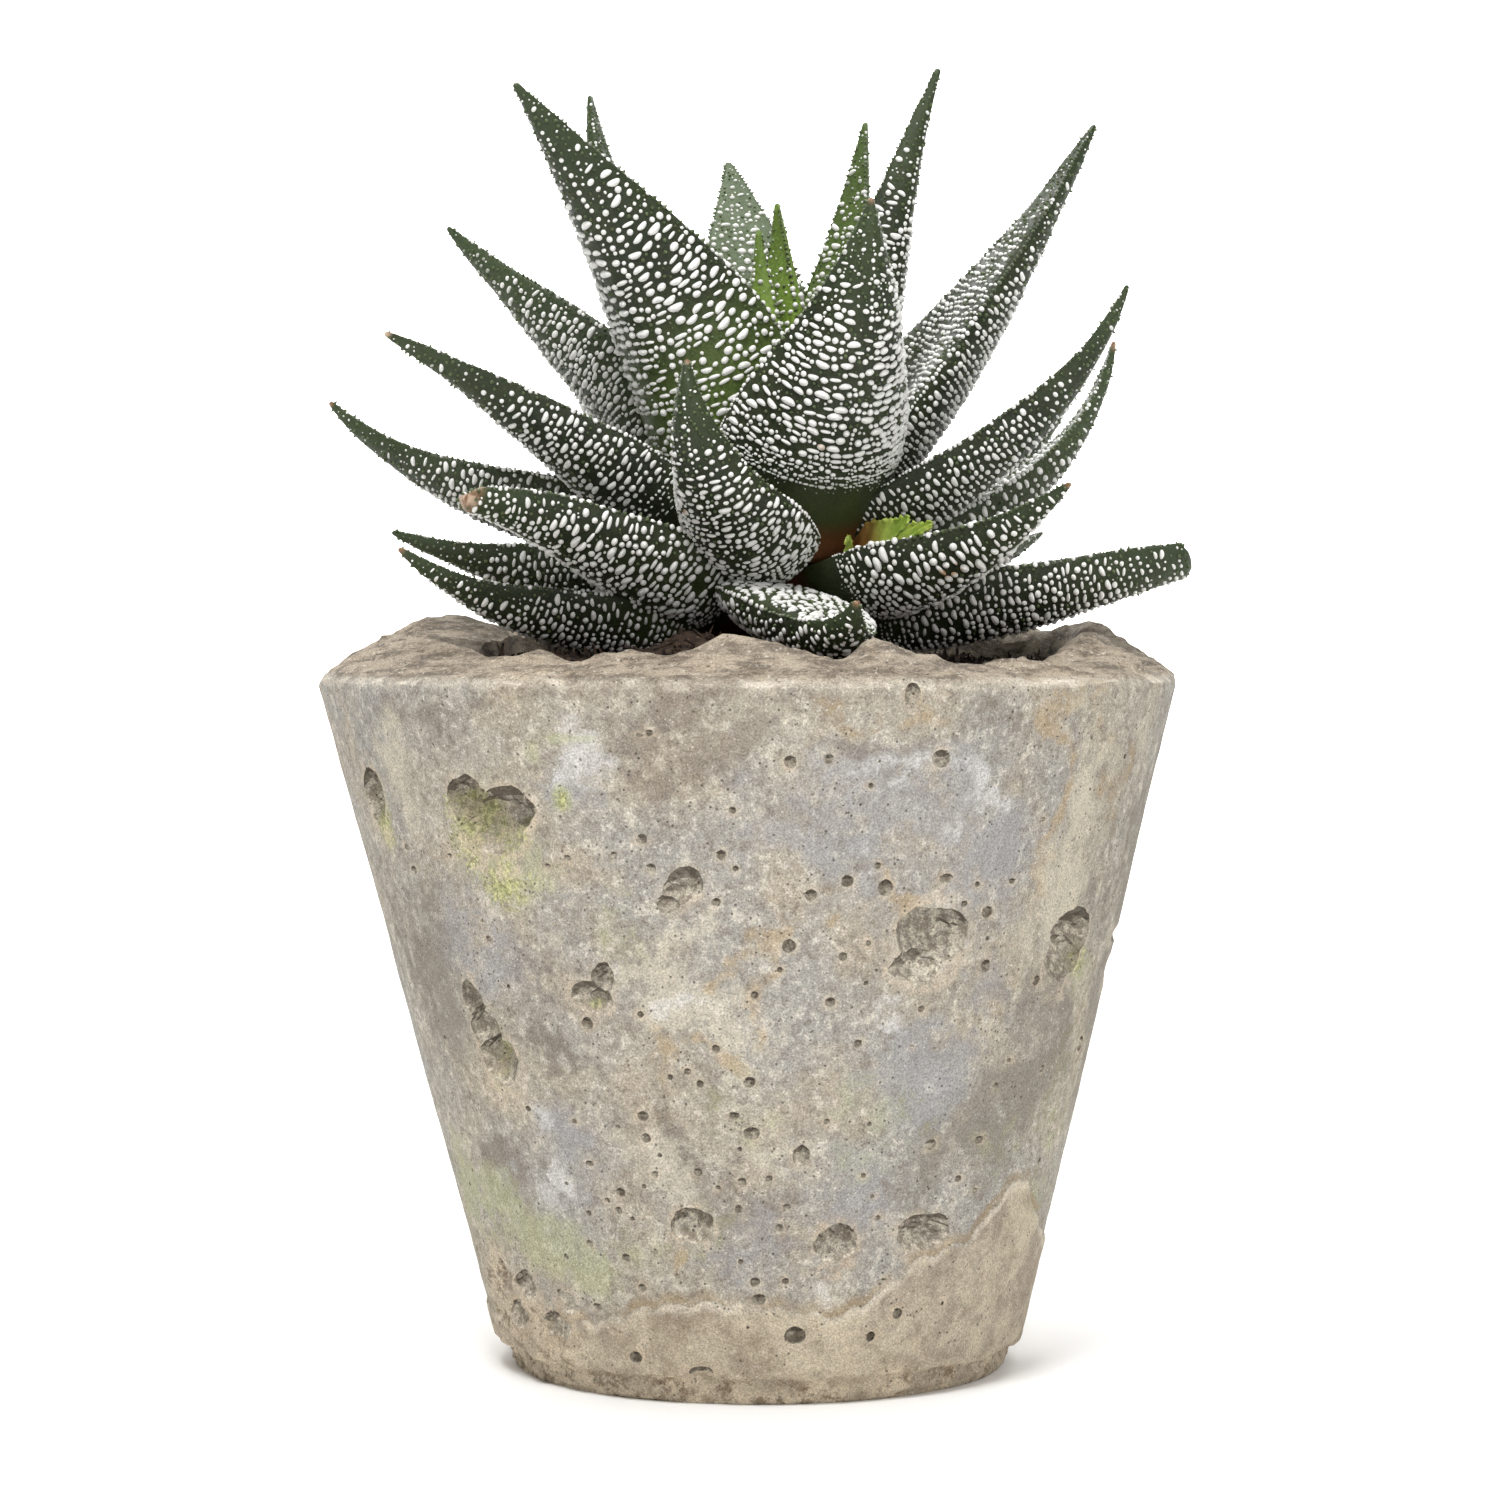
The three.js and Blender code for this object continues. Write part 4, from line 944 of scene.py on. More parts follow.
class Spots:
    """Tubercles laid on one leaf so that none overlaps another."""

    def __init__(self):
        self.rows = []
        self.place = np.empty((0, 3))
        self.half = np.empty((0, 2))
        self.normal = np.empty((0, 3))

    def room(self, point, normal, side, along, a, b, gap):
        if not len(self.place):
            return True
        d = point - self.place
        near = self.normal @ normal > 0.3
        dx = (d @ side) / (self.half[:, 0] + a + gap)
        dy = (d @ along) / (self.half[:, 1] + b + gap)
        dz = (d @ normal) / 1.5
        return not np.any(near & (dx * dx + dy * dy + dz * dz < 1))

    def add(self, point, normal, side, along, a, b, kind, turn, tint, rise):
        self.place = np.vstack([self.place, point])
        self.half = np.vstack([self.half, (a, b)])
        self.normal = np.vstack([self.normal, normal])
        x = side * math.cos(turn) + along * math.sin(turn)
        basis = Matrix((x, np.cross(normal, x), normal)).transposed()
        self.rows.append((point, basis.to_euler(), (a / STRETCHES[kind], b, rise), kind, tint))


def candidates(skin, draw, count, low, high):
    """Places on the skin, each as likely as its share of the area between two places along it."""
    q = np.linspace(0, 2 * math.pi, 73)
    s = np.linspace(low, high, 121)
    qq, ss = np.meshgrid((q[1:] + q[:-1]) / 2, (s[1:] + s[:-1]) / 2)
    area = skin.at(qq, ss)[4].ravel()
    cells = draw.choice(len(area), count, p=area / area.sum())
    q = qq.ravel()[cells] + draw.uniform(-0.5, 0.5, count) * (q[1] - q[0])
    s = ss.ravel()[cells] + draw.uniform(-0.5, 0.5, count) * (s[1] - s[0])
    return np.mod(q, 2 * math.pi), s


def growth(s, bare):
    """Tubercles are small where the bare base ends and again towards the tip."""
    return (0.5 + 0.5 * smooth(bare, bare + 0.13, s)) * (1 - 0.34 * smooth(0.6, 0.97, s))


def rows_of_tubercles(leaf, skin, draw, bare, thinned):
    """Places round the leaf, row upon row, with the half-sizes and the kind of each tubercle."""
    around = np.linspace(0, 2 * math.pi, 145)
    rows, u = [], bare * skin.length
    wave = draw.uniform(0, 6.28, 3)
    while u < 0.975 * skin.length:
        s = u / skin.length
        grown, thin = float(growth(s, bare)) * leaf.size, thinned * float(smooth(0.55, 0.93, s))
        room = leaf.spare * (1 + 3 * thin)
        ring = skin.plain(around, np.full(len(around), s))
        arc = np.concatenate([[0], np.cumsum(np.linalg.norm(np.diff(ring, axis=0), axis=1))])
        v = draw.uniform(0, grown)
        while v < arc[-1]:
            c0, c1, c2, c3 = draw.random(4)
            inner = math.sin(float(np.interp(v, arc, around))) > 0 and skin.cup > 0
            b = grown * (0.26 + 0.29 * c1 ** 1.2) * (0.88 if inner else 1)
            long_share = (0.22 if inner else 0.42) * (1 - 0.8 * thin)
            long_kind, short_kind = "bean" if c1 > 0.45 else "double", "oval" if c0 < 0.70 else "round"
            kind = long_kind if c0 < long_share else short_kind
            a = b * ASPECTS[kind]
            v += a
            q = float(np.interp(v, arc, around))
            shift = 0.4 * math.sin(2 * q + wave[0] + 0.21 * u) + 0.25 * math.sin(5 * q + wave[1] - 0.3 * u)
            place = u + grown * (shift + (0.24 + 0.5 * thin) * (c2 - 0.5) * 2)
            if c3 > 0.55 * thin + (0.12 if inner else 0.05):
                turn = (0.5 + 0.9 * thin) * (c2 - 0.5) + (3.14 if c3 > 0.6 else 0)
                rows.append((q, place / skin.length, a, b, KINDS[kind], turn, 0.9 * thin * c0))
            v += a + room * (0.5 + 1.1 * c2)
        u += grown * 0.88 + room
    return rows


def specks_between(leaf, skin, draw, bare, pale):
    """Small white tubercles and, on leaves that aren't pale, green points between the rows."""
    specks, share = [], skin.length * skin.width / 1000
    q, s = candidates(skin, draw, int(800 * share), bare - 0.03, 0.98)
    for i, chance in enumerate(draw.random((len(q), 3))):
        b = leaf.size * float(growth(s[i], bare)) * (0.14 + 0.12 * chance[0])
        a = b * (1 + 0.4 * chance[1])
        specks.append((q[i], s[i], a, b, KINDS["small"], 3 * chance[2], 0.3 * chance[1]))
    q, s = candidates(skin, draw, int((1500 - 1000 * pale) * share), 0.35, 0.99)
    for i, chance in enumerate(draw.random((len(q), 3))):
        b = 0.18 + 0.14 * chance[0]
        kind = KINDS["tooth" if chance[1] > 0.5 else "small"]
        specks.append((q[i], s[i], b, b, kind, 3 * chance[2], 1.0))
    return specks


def teeth_on_margins(leaf, skin, draw, bare, spots):
    """Green teeth and white beads in file along both margins and, as beads, along the keel."""
    margins, keel = (0.0, math.pi), 1.5 * math.pi
    for q0 in (*margins, keel):
        u = bare * 0.9 * skin.length
        while u < 0.98 * skin.length:
            s = u / skin.length
            point, normal, side, along, _ = skin.at(q0 + draw.normal(0, 0.03), s)
            white = q0 == keel or draw.random() > float(smooth(0.3, 0.65, s)) * 0.75
            grown = (0.35 + 0.65 * smooth(bare, bare + 0.3, s)) * (1 - 0.45 * smooth(0.5, 1.0, s))
            b = leaf.size * float(grown) * draw.uniform(0.3, 0.5)
            u += 2 * b + draw.uniform(0.0, 1.2 if q0 == keel else 0.3)
            if q0 == keel and (s < 0.3 or s > 0.9):
                continue
            tint = draw.uniform(0, 0.3) if white else draw.uniform(0.75, 1.0)
            if spots.room(point, normal, side, along, b, b, 0.0):
                kind = KINDS["round" if white else "tooth"]
                spots.add(point, normal, side, along, b, b, kind, 0, tint, b if white else 1.3 * b)


def lay_tubercles(number, leaf, skin):
    """Every tubercle of a leaf: first the margins', then the rows', then the small ones between."""
    draw = np.random.default_rng(899 + number)
    bare = bare_bases.get(number, BARE_BASE)
    spots = Spots()
    teeth_on_margins(leaf, skin, draw, bare, spots)
    rows = rows_of_tubercles(leaf, skin, draw, bare, 0.2 if number in full_tips else 1.0)
    rows += specks_between(leaf, skin, draw, bare, max(leaf.haze, float(number in young_leaves)))
    q, s = np.array([row[:2] for row in rows]).T
    places = zip(*skin.at(q, np.clip(s, 0.02, 0.99))[:4])
    for (point, normal, side, along), (_, s, a, b, kind, turn, tint) in zip(places, rows):
        gap = 0.04 if b > 0.3 * leaf.size else 0.12 * leaf.spare / 0.16
        if spots.room(point, normal, side, along, a, b, gap):
            tint = min(tint + 0.5 * float(smooth(bare + 0.08, bare, s)), 1)
            spots.add(point, normal, side, along, a, b, kind, turn, tint, b + 0.12)
    return spots.rows


def new_geometry_tree(name, inputs, output):
    """A geometry tree with named inputs and one output, and the calls and sockets to build it with."""
    tree = bpy.data.node_groups.new(name, "GeometryNodeTree")
    for label, kind in inputs.items():
        tree.interface.new_socket(label, in_out="INPUT", socket_type=f"NodeSocket{kind}")
    tree.interface.new_socket(output, in_out="OUTPUT", socket_type="NodeSocketGeometry")
    t = Nodes(tree)
    return tree, t, t.node("NodeGroupInput", {}).outputs, t.node("NodeGroupOutput", {}).inputs


def joined(t, *parts):
    join = t.node("GeometryNodeJoinGeometry", {})
    for part in parts:
        t.link(part, join.inputs[0])
    return join.outputs[0]


def tubercle_tree():
    """Puts a dome on every point of a leaf's point cloud and joins them to the leaf's body."""
    inputs = {"Points": "Geometry", "Body": "Object", "Shapes": "Collection", "Tubercle Size": "Float",
              "Leaf Material": "Material", "Tubercle Material": "Material"}
    tree, t, enter, leave = new_geometry_tree("tubercles_on_leaf", inputs, "Leaf")

    def named(name, data_type):
        node = t.node("GeometryNodeInputNamedAttribute", {"Name": name}, data_type=data_type)
        return node.outputs["Attribute"]

    shapes = t.node("GeometryNodeCollectionInfo", {
        "Collection": enter["Shapes"], "Separate Children": True, "Reset Children": True})
    turn = t.node("FunctionNodeEulerToRotation", {"Euler": named("turn", "FLOAT_VECTOR")})
    scale = t.node("ShaderNodeVectorMath", {
        0: named("size", "FLOAT_VECTOR"), "Scale": enter["Tubercle Size"]}, operation="SCALE")
    domes = t.node("GeometryNodeInstanceOnPoints", {
        "Points": enter["Points"], "Instance": shapes.outputs[0], "Pick Instance": True,
        "Instance Index": named("kind", "INT"), "Rotation": turn.outputs[0], "Scale": scale.outputs[0]})
    real = t.node("GeometryNodeRealizeInstances", {0: domes.outputs[0]})
    white = t.node("GeometryNodeSetMaterial", {
        "Geometry": real.outputs[0], "Material": enter["Tubercle Material"]})
    body = t.node("GeometryNodeObjectInfo", {"Object": enter["Body"]})
    green = t.node("GeometryNodeSetMaterial", {
        "Geometry": body.outputs["Geometry"], "Material": enter["Leaf Material"]})
    t.link(joined(t, white.outputs[0], green.outputs[0]), leave[0])
    return tree


def run_tree(thing, tree, name, **values):
    """Runs a tree on an object with its inputs set and leaves only the result, as a plain mesh."""
    modifier = thing.modifiers.new(tree.name, "NODES")
    modifier.node_group = tree
    sockets = {item.name: item.identifier for item in tree.interface.items_tree
               if item.item_type == "SOCKET" and item.in_out == "INPUT"}
    for label, value in values.items():
        modifier[sockets[label.replace("_", " ")]] = value
    bpy.context.view_layer.update()
    shown = thing.evaluated_get(bpy.context.evaluated_depsgraph_get())
    mesh = bpy.data.meshes.new_from_object(shown)
    mesh.name = name
    thing.modifiers.remove(modifier)
    bpy.data.objects.remove(thing)
    return mesh


def spot_mesh(rows):
    mesh = bpy.data.meshes.new("spots")
    mesh.from_pydata([tuple(row[0] * MM) for row in rows], [], [])
    for name, column in (("turn", 1), ("size", 2)):
        layer = mesh.attributes.new(name, "FLOAT_VECTOR", "POINT")
        layer.data.foreach_set("vector", np.array([tuple(row[column]) for row in rows], np.float32).ravel())
    mesh.attributes.new("kind", "INT", "POINT").data.foreach_set("value", [row[3] for row in rows])
    store(mesh, "tint", [row[4] for row in rows])
    return mesh


def leaf_colour_group():
    """A leaf's green from how fresh and how hazy it is; the fresh green has painted glow of light through it.
    """
    inputs = [("Vector", "NodeSocketVector", None), ("Fresh", "NodeSocketFloat", 0.0),
              ("Haze", "NodeSocketFloat", 0.0)]
    outputs = [("Color", "NodeSocketColor"), ("Height", "NodeSocketFloat")]
    group, t, enter, leave = new_group("leaf_colour", inputs, outputs)
    mottled = t.noise(enter["Vector"], 110, 4, 0.5)
    dark = t.mix(t.span(mottled, 0.35, 0.7), (0.018, 0.023, 0.012, 1), (0.033, 0.041, 0.019, 1))
    # The young leaves' own green, brightened with painted glow of light shining through them.
    fresh_and_glowing = t.mix(t.span(mottled, 0.3, 0.7), (0.16, 0.25, 0.038, 1), (0.21, 0.32, 0.055, 1))
    colour = t.mix(enter["Fresh"], dark, fresh_and_glowing)
    colour = t.mix(t.times(enter["Haze"], 0.45), colour, (0.17, 0.225, 0.12, 1))
    fine = t.noise(enter["Vector"], 2400, 2, 0.5)
    t.link(t.mix(1.0, colour, t.span(fine, 0.3, 0.7, 0.82, 1.2), "MULTIPLY"), leave["Color"])
    t.link(fine, leave["Height"])
    return group


leaf_colour = leaf_colour_group()


def leaf_material():
    material, t, shader, at = new_material("leaf_skin", 0.5)
    green = t.group(leaf_colour, Vector=at, Fresh=t.attribute("fresh"), Haze=t.attribute("haze"))
    along = t.attribute("along")
    colour = t.mix(t.times(t.span(along, 0.5, 1.0), 0.4), green["Color"], (0.058, 0.084, 0.036, 1))
    colour = t.mix(t.times(t.span(along, 0.20, 0.02), 0.5), colour, (0.060, 0.075, 0.022, 1))
    colour = t.mix(t.span(along, 0.075, -0.01, 0, 0.8), colour, (0.15, 0.05, 0.02, 1))
    scabs = t.span(t.noise(at, 700, 4), 0.4, 0.6)
    tan = t.mix(scabs, (0.19, 0.10, 0.05, 1), (0.52, 0.38, 0.27, 1))
    t.link(t.mix(t.attribute("dry"), colour, tan), shader["Base Color"])
    t.link(t.span(t.noise(at, 300), 0.3, 0.7, 0.42, 0.58), shader["Roughness"])
    t.link(t.bump(green["Height"], 0.3, 0.00025), shader["Normal"])
    shader["Specular IOR Level"].default_value = 0.25
    return material


def tubercle_material():
    material, t, shader, at = new_material("tubercle", 0.34)
    chalk = t.mix(t.noise(at, 600, 2), (0.70, 0.69, 0.65, 1), (0.90, 0.89, 0.86, 1))
    chalk = t.mix(t.span(t.noise(at, 150, 2), 0.72, 0.78), chalk, (0.50, 0.30, 0.15, 1))
    pale = t.mix(0.35, t.group(leaf_colour, Vector=at)["Color"], (0.16, 0.23, 0.07, 1))
    t.link(t.mix(t.span(t.attribute("tint"), 0.25, 0.95), chalk, pale), shader["Base Color"])
    t.link(t.bump(t.noise(at, 1800), 0.25, 0.0001), shader["Normal"])
    return material


class Bodies:
    """The bodies of all leaves, to tell which places on one leaf lie inside another."""

    def __init__(self, meshes):
        points = [vectors(mesh.vertices, "co") for mesh in meshes]
        self.lows = np.array([p.min(axis=0) for p in points])
        self.highs = np.array([p.max(axis=0) for p in points])
        self.trees = [BVHTree.FromPolygons([v.co for v in mesh.vertices], [p.vertices for p in mesh.polygons])
                      for mesh in meshes]

    def hide(self, point, own):
        """Whether a place is inside any body but its own leaf's."""
        place = Vector(point)
        in_box = (point > self.lows) & (point < self.highs)
        for i in np.flatnonzero(in_box.all(axis=1)):
            if i == own:
                continue
            spot, normal, _, _ = self.trees[i].find_nearest(place, 0.012)
            if spot is not None and (place - spot).dot(normal) < 0.00005:
                return True
        return False


def build_leaves():
    tree, shapes = tubercle_tree(), tubercle_shapes()
    skin_of_leaf, white = leaf_material(), tubercle_material()
    skins = [LeafSkin(leaf, 39 + number) for number, leaf in enumerate(leaves, 1)]
    meshes = [leaf_body(i + 1, leaves[i], skin) for i, skin in enumerate(skins)]
    things = [add_object(mesh.name, mesh) for mesh in meshes]
    bodies = Bodies(meshes)
    for i, leaf in enumerate(leaves):
        rows = lay_tubercles(i + 1, leaf, skins[i])
        rows = [row for row in rows if not bodies.hide(row[0] * MM, i)]
        mesh = run_tree(add_object("spots", spot_mesh(rows)), tree, f"leaf_{i + 1:02d}_skin", Body=things[i],
                        Shapes=shapes, Tubercle_Size=MM, Leaf_Material=skin_of_leaf, Tubercle_Material=white)
        set_smooth(mesh)
        piece = add_object(f"tubercled_leaf_{i + 1:02d}", mesh)
        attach(piece, "root")
        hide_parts(f"leaf_{i + 1:02d}")
    for thing in things:
        bpy.data.objects.remove(thing)
    remove_shapes(shapes)


build_leaves()

# ---------------------------------------------------------------------------------------------
# The soil: dark brown potting soil, crumbly on top, heaped in front of the stem and fallen in
# at the right. It fills the pot's cavity.

# Middle, reach and rise of each mound and hollow.
mounds = [(-9, -27, 8, 4.6), (-30, -22, 9, 1.2), (28, -24, 14, -2.2), (8, -30, 9, -1.6), (-24, 26, 12, 1.0),
          (22, 30, 10, 0.8)]
SOIL_TOP = 98.0
SOIL_BOTTOM = pot["floor"] + 0.4
SOIL_BRIM = 90
SOIL_AROUND = 150
SOIL_RINGS = 44
WALL_GAP = 0.7
SOIL_LEAN = pot["lean"] * 0.94
SOIL_FOOT_LEAN = pot["lean"] * 0.15
CRUMBS_PER_M2 = 300000.0
CRUMB_SIZE = 0.0007
CRUMB_SEED = 5
CRUMB_STRETCHES = ((1, 0.8, 0.7), (1.5, 0.7, 0.6), (1, 1, 0.8), (3.2, 0.3, 0.3))


def soil_height(x, y):
    z = SOIL_TOP + 0.25 * np.sin(0.9 * x + 1) * np.cos(0.8 * y)
    for mx, my, radius, rise in mounds:
        z = z + rise * np.exp(-((x - mx) ** 2 + (y - my) ** 2) / radius ** 2)
    return z


def soil_mesh():
    angle = np.linspace(0, 2 * math.pi, SOIL_AROUND, endpoint=False)
    out = np.stack([np.cos(angle), np.sin(angle), 0 * angle], 1)
    rings = []
    for z in (SOIL_BOTTOM, 40, 70, 88):
        ring = out * (cavity_radius(z, angle) - WALL_GAP)[:, None] + [lean_at(z), 0, z]
        rings.append(ring * MM)
    brim = cavity_radius(SOIL_BRIM, angle) - 0.8
    for share in [1.0] + list(np.linspace(0.988, 0.03, SOIL_RINGS)):
        ring = out * (brim * share)[:, None]
        ring[:, 0] += SOIL_LEAN
        ring[:, 2] = soil_height(ring[:, 0], ring[:, 1])
        ring[:, 2] += 0.8 * roughness_at(ring, 3.5, 4, 21) - 0.2
        rings.append(ring * MM)
    low = (SOIL_FOOT_LEAN * MM, 0, SOIL_BOTTOM * MM)
    top = (SOIL_LEAN * MM, 0, float(soil_height(0, 0)) * MM)
    mesh = closed_mesh("soil_body", rings, low, top)
    set_smooth(mesh)
    return mesh


def crumb_shapes():
    shapes = bpy.data.collections.new("crumb_shapes")
    for i, (x, y, z) in enumerate(CRUMB_STRETCHES):
        ball = bmesh.new()
        bmesh.ops.create_icosphere(ball, subdivisions=1, radius=1)
        for v in ball.verts:
            v.co = v.co * (1 + 0.5 * noise.noise(v.co * 1.7 + Vector((9.0 * i, 0, 0))))
            v.co = Vector((v.co.x * x, v.co.y * y, v.co.z * z))
        mesh = bpy.data.meshes.new(f"crumb_{i}")
        ball.to_mesh(mesh)
        ball.free()
        shapes.objects.link(bpy.data.objects.new(f"crumb_{i}", mesh))
    return shapes


def crumb_tree():
    """Scatters crumbs over the upper side of a body and joins them to it."""
    inputs = {"Body": "Geometry", "Shapes": "Collection", "Density": "Float", "Crumb Size": "Float",
              "Seed": "Int", "Material": "Material"}
    tree, t, enter, leave = new_geometry_tree("crumbs_on_soil", inputs, "Soil")
    normal = t.node("ShaderNodeSeparateXYZ", {0: t.node("GeometryNodeInputNormal", {}).outputs[0]})
    upper = t.node("FunctionNodeCompare", {0: normal.outputs["Z"], 1: 0.3},
                   data_type="FLOAT", operation="GREATER_THAN")
    points = t.node("GeometryNodeDistributePointsOnFaces", {
        "Mesh": enter["Body"], "Selection": upper.outputs[0], "Density": enter["Density"],
        "Seed": enter["Seed"]})
    shapes = t.node("GeometryNodeCollectionInfo", {"Collection": enter["Shapes"], "Separate Children": True})
    turn = t.node("FunctionNodeRandomValue", {1: (6.28, 6.28, 6.28), "Seed": enter["Seed"]},
                  data_type="FLOAT_VECTOR")
    size = t.node("FunctionNodeRandomValue", {2: 0.35, 3: 1.3, "Seed": enter["Seed"]}, data_type="FLOAT")
    crumbs = t.node("GeometryNodeInstanceOnPoints", {
        "Points": points.outputs["Points"], "Instance": shapes.outputs[0], "Pick Instance": True,
        "Rotation": turn.outputs[0], "Scale": t.times(size.outputs[1], enter["Crumb Size"])})
    real = t.node("GeometryNodeRealizeInstances", {0: crumbs.outputs[0]})
    soil = t.node("GeometryNodeSetMaterial", {
        "Geometry": joined(t, enter["Body"], real.outputs[0]), "Material": enter["Material"]})
    t.link(soil.outputs[0], leave[0])
    return tree


def soil_material():
    material, t, shader, at = new_material("potting_soil", 0.95)
    damp = t.span(t.noise(at, 420, 5, 0.7), 0.36, 0.66)
    colour = t.mix(damp, (0.014, 0.010, 0.008, 1), (0.070, 0.045, 0.030, 1))
    colour = t.mix(t.span(t.noise(at, 950, 3), 0.62, 0.74, 0, 0.8), colour, (0.19, 0.12, 0.075, 1))
    t.link(colour, shader["Base Color"])
    t.link(t.bump(t.noise(at, 1600, 5, 0.7), 0.9, 0.0006), shader["Normal"])
    shader["Specular IOR Level"].default_value = 0.2
    return material


def build_soil():
    shapes = crumb_shapes()
    mesh = run_tree(add_object("soil_body", soil_mesh()), crumb_tree(), "crumbly_soil", Shapes=shapes,
                    Density=CRUMBS_PER_M2, Crumb_Size=CRUMB_SIZE, Seed=CRUMB_SEED, Material=soil_material())
    remove_shapes(shapes)
    piece = add_object("crumbly_soil", mesh)
    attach(piece, "root")
    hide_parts("soil")


build_soil()

# ---------------------------------------------------------------------------------------------
# The stem: short and fleshy, standing in the soil and hidden by the leaves that grow from it.


def stem_material():
    material, t, shader, at = new_material("stem_skin", 0.6)
    bark = t.mix(t.span(t.noise(at, 260, 5), 0.38, 0.62), (0.055, 0.075, 0.02, 1), (0.16, 0.10, 0.05, 1))
    t.link(bark, shader["Base Color"])
    t.link(t.bump(t.noise(at, 700, 4), 0.5, 0.0005), shader["Normal"])
    return material


stem = bpy.data.objects["stem"]
for held in stem.material_slots:
    held.material = stem_material()

# ---------------------------------------------------------------------------------------------
# The young shoot: three thin, toothed leaflets in the axil of a front leaf, yellow-green with
# an orange-brown foot.

# The same figures as a leaf's, as far as the hollow above.
leaflets = [
    Leaf(318, 14, 111.5, 45, (20.3, -20, 118), 30, 7.5, 70, 0, 1),
    Leaf(312, 13.5, 110.5, 50, (12, -18, 115.6), 60, 5, 50, 0, 1),
    Leaf(321, 14, 112, 30, (23.6, -18, 117), 10, 5, 70, 0, 1),
]
LEAFLET_AROUND = 20
LEAFLET_ROW = 0.3
LEAFLET_THICKNESS = 0.4
TOOTH_PITCH = 1.3
TOOTH_LENGTH = 0.5


def leaflet_rings(leaf, seed):
    skin = LeafSkin(leaf, seed, LEAFLET_THICKNESS)
    rows = int(skin.length / LEAFLET_ROW) + 2
    s = np.linspace(0.0, 0.985, rows)
    q = np.linspace(0, 2 * math.pi, LEAFLET_AROUND, endpoint=False)
    qq, ss = np.meshgrid(q, s)
    point, normal, _, _, _ = skin.at(qq, ss)
    saw = np.abs((ss * skin.length / TOOTH_PITCH) % 1 - 0.5) * 2
    tooth = saw ** 2 * np.abs(np.cos(qq)) ** 8 * TOOTH_LENGTH * smooth(0.1, 0.35, ss)
    crumple = 0.18 * np.sin(5 * qq + 30 * ss + seed)
    return list((point + normal * (tooth + crumple)[..., None]) * MM), ss


def shoot_mesh():
    points, faces, along = [], [], []
    for seed, leaf in enumerate(leaflets, 70):
        rings, ss = leaflet_rings(leaf, seed)
        part = closed_mesh("leaflet", rings, rings[0].mean(axis=0), rings[-1].mean(axis=0))
        start = len(points)
        points += [tuple(v.co) for v in part.vertices]
        faces += [[start + k for k in p.vertices] for p in part.polygons]
        along += [0.0] + list(ss.ravel()) + [1.0]
        bpy.data.meshes.remove(part)
    mesh = bpy.data.meshes.new("young_shoot")
    mesh.from_pydata(points, [], faces)
    store(mesh, "along", along)
    set_smooth(mesh)
    return mesh


def shoot_material():
    material, t, shader, at = new_material("young_leaf", 0.45)
    along = t.attribute("along")
    green = t.mix(t.span(t.noise(at, 330, 4), 0.35, 0.65), (0.22, 0.33, 0.045, 1), (0.42, 0.52, 0.10, 1))
    colour = t.mix(t.span(along, 0.62, 0.28), green, (0.56, 0.30, 0.09, 1))
    colour = t.mix(t.span(along, 0.30, 0.05), colour, (0.22, 0.05, 0.015, 1))
    t.link(colour, shader["Base Color"])
    t.link(t.bump(t.noise(at, 1400, 3), 0.4, 0.0002), shader["Normal"])
    shader["Subsurface Weight"].default_value = 0.25
    shader["Subsurface Radius"].default_value = (0.002, 0.002, 0.0005)
    shader["Subsurface Scale"].default_value = 0.6
    return material


young_shoot = add_object("young_shoot", shoot_mesh())
young_shoot.data.materials.append(shoot_material())
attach(young_shoot, "root")
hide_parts("shoot")

# ---------------------------------------------------------------------------------------------
# The studio: a pale sweep of floor and wall, soft light from above and from in front, and the
# camera at the height of the pot's rim.

SWEEP = {"front": -1.2, "back": 1.1, "side": 2.2, "curve": 0.5, "height": 1.8, "steps": 24}
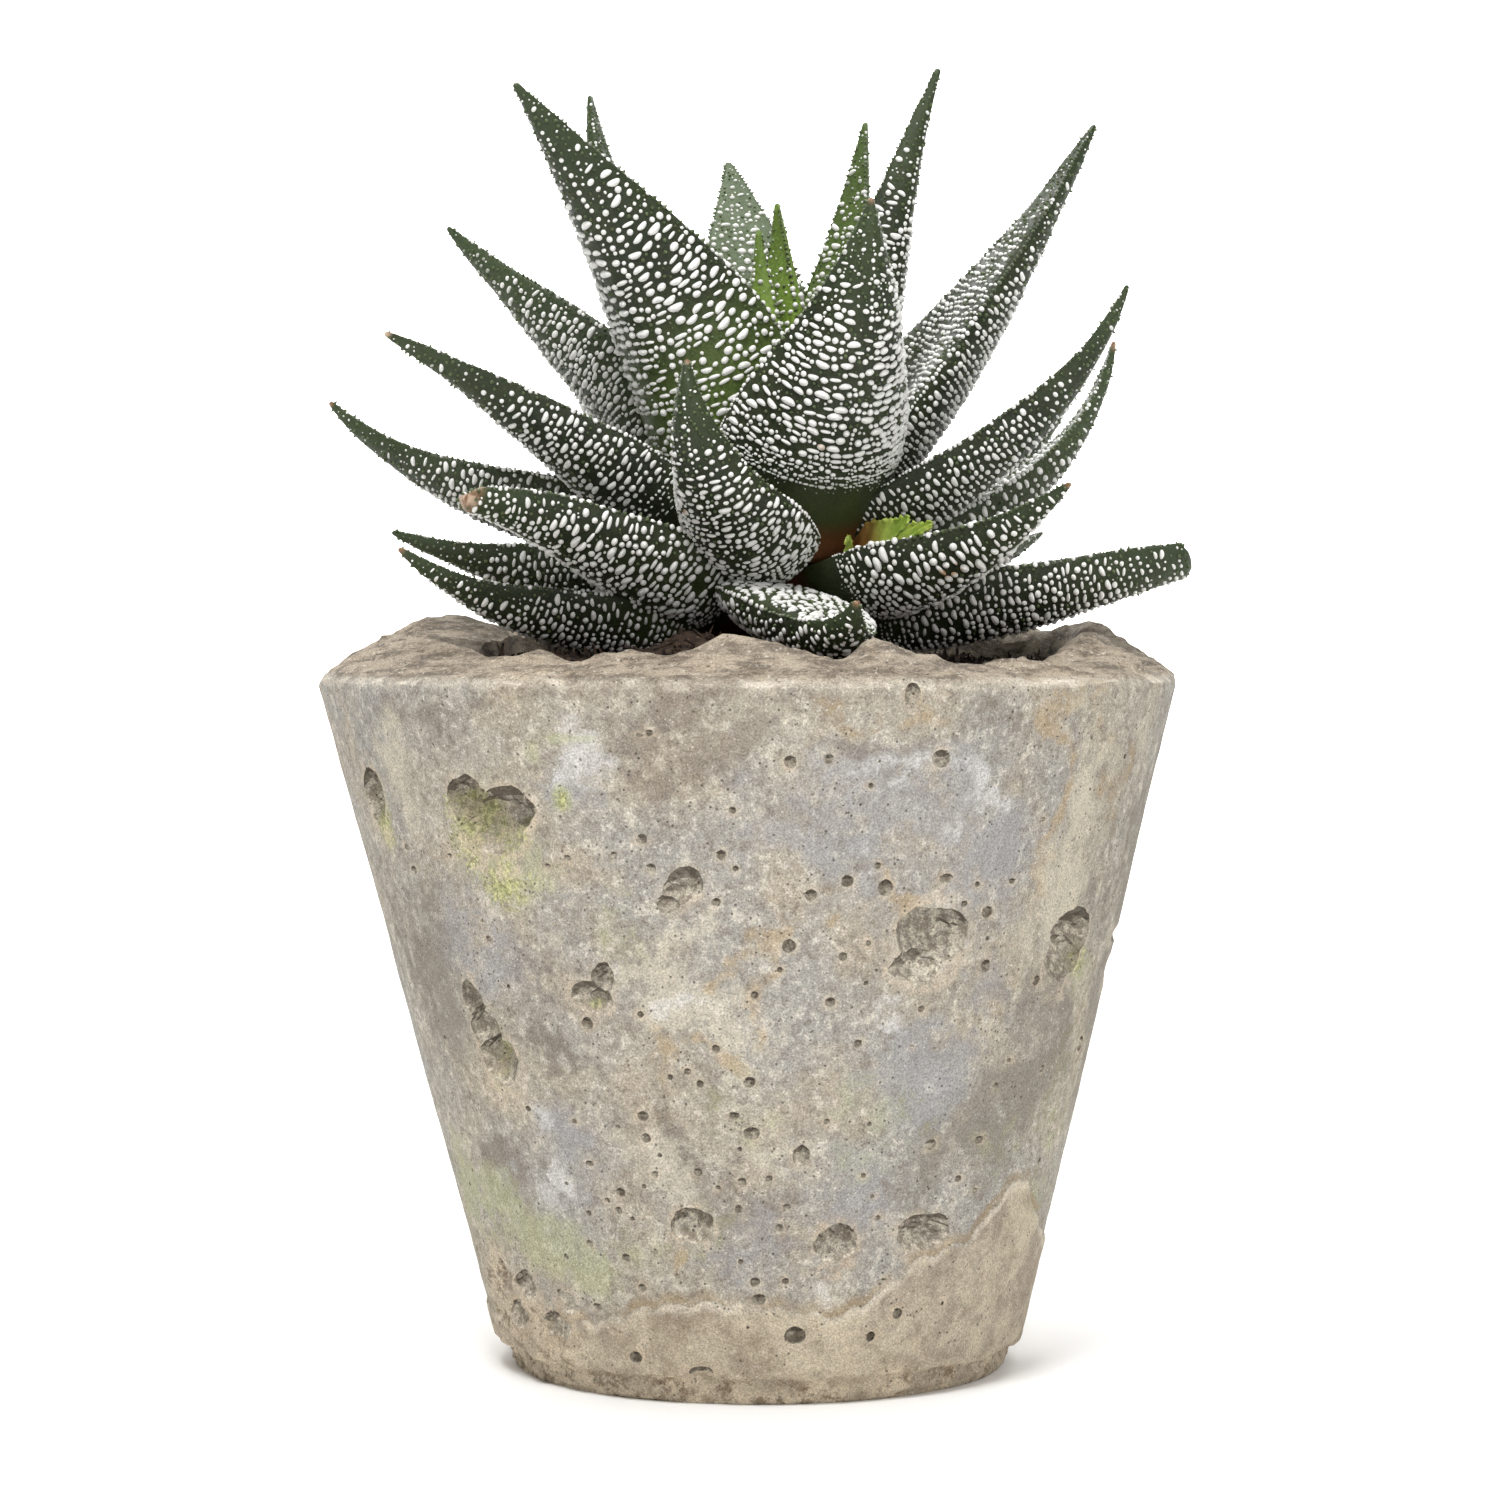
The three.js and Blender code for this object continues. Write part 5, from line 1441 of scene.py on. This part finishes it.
# Name, place, target, size, power and spread of each lamp.
lamps = [
    ("key_light", (-0.18, -0.62, 1.1), (0, 0, 0.1), 0.35, 10.8, 180),
    ("fill_light", (0.45, -0.85, 0.6), (0, 0, 0.1), 0.5, 3.0, 180),
    ("top_light", (0.0, 0.05, 1.0), (0, 0, 0.1), 0.7, 6.6, 180),
    ("wall_light_left", (-1.5, 0.3, 0.9), (-0.4, 1.6, 0.6), 1.0, 28, 90),
    ("wall_light_right", (1.5, 0.3, 0.9), (0.4, 1.6, 0.6), 1.0, 28, 90),
]
CAMERA_PLACE = (-0.00133, -0.583, 0.1045)
CAMERA_PITCH = -1.83
CAMERA_LENS = 99.8


def sweep_mesh():
    back, curve = SWEEP["back"], SWEEP["curve"]
    turns = np.linspace(0, math.pi / 2, SWEEP["steps"])
    arc = [(back + curve * math.sin(a), curve * (1 - math.cos(a))) for a in turns]
    line = [(SWEEP["front"], 0.0)] + arc + [(back + curve, SWEEP["height"])]
    points = [(x, y, z) for y, z in line for x in (-SWEEP["side"], SWEEP["side"])]
    faces = [(2 * i, 2 * i + 1, 2 * i + 3, 2 * i + 2) for i in range(len(line) - 1)]
    mesh = bpy.data.meshes.new("sweep")
    mesh.from_pydata(points, [], faces)
    set_smooth(mesh)
    return mesh


def paper_material():
    material, _, shader, _ = new_material("pale_paper", 0.9)
    shader["Base Color"].default_value = (0.93, 0.93, 0.925, 1)
    return material


def soft_light(name, place, target, size, power, spread):
    lamp = bpy.data.lights.new(name, "AREA")
    lamp.size = size
    lamp.spread = math.radians(spread)
    lamp.energy = power
    light = add_object(name, lamp)
    light.location = place
    light.rotation_euler = (Vector(target) - Vector(place)).to_track_quat("-Z", "Y").to_euler()


sweep = add_object("sweep", sweep_mesh())
sweep.data.materials.append(paper_material())
for figures in lamps:
    soft_light(*figures)

scene.world = bpy.data.worlds.new("pale_world")
scene.world.use_nodes = True
glow = scene.world.node_tree.nodes["Background"].inputs
glow["Color"].default_value = (1, 1, 1, 1)
glow["Strength"].default_value = 0.24
scene.view_settings.view_transform = "Standard"

camera_data = bpy.data.cameras.new("camera")
camera_data.sensor_width = 36
camera_data.lens = CAMERA_LENS
camera_data.clip_start = 0.01
camera = add_object("camera", camera_data)
camera.location = CAMERA_PLACE
camera.rotation_euler = (math.radians(90 + CAMERA_PITCH), 0, 0)
scene.camera = camera
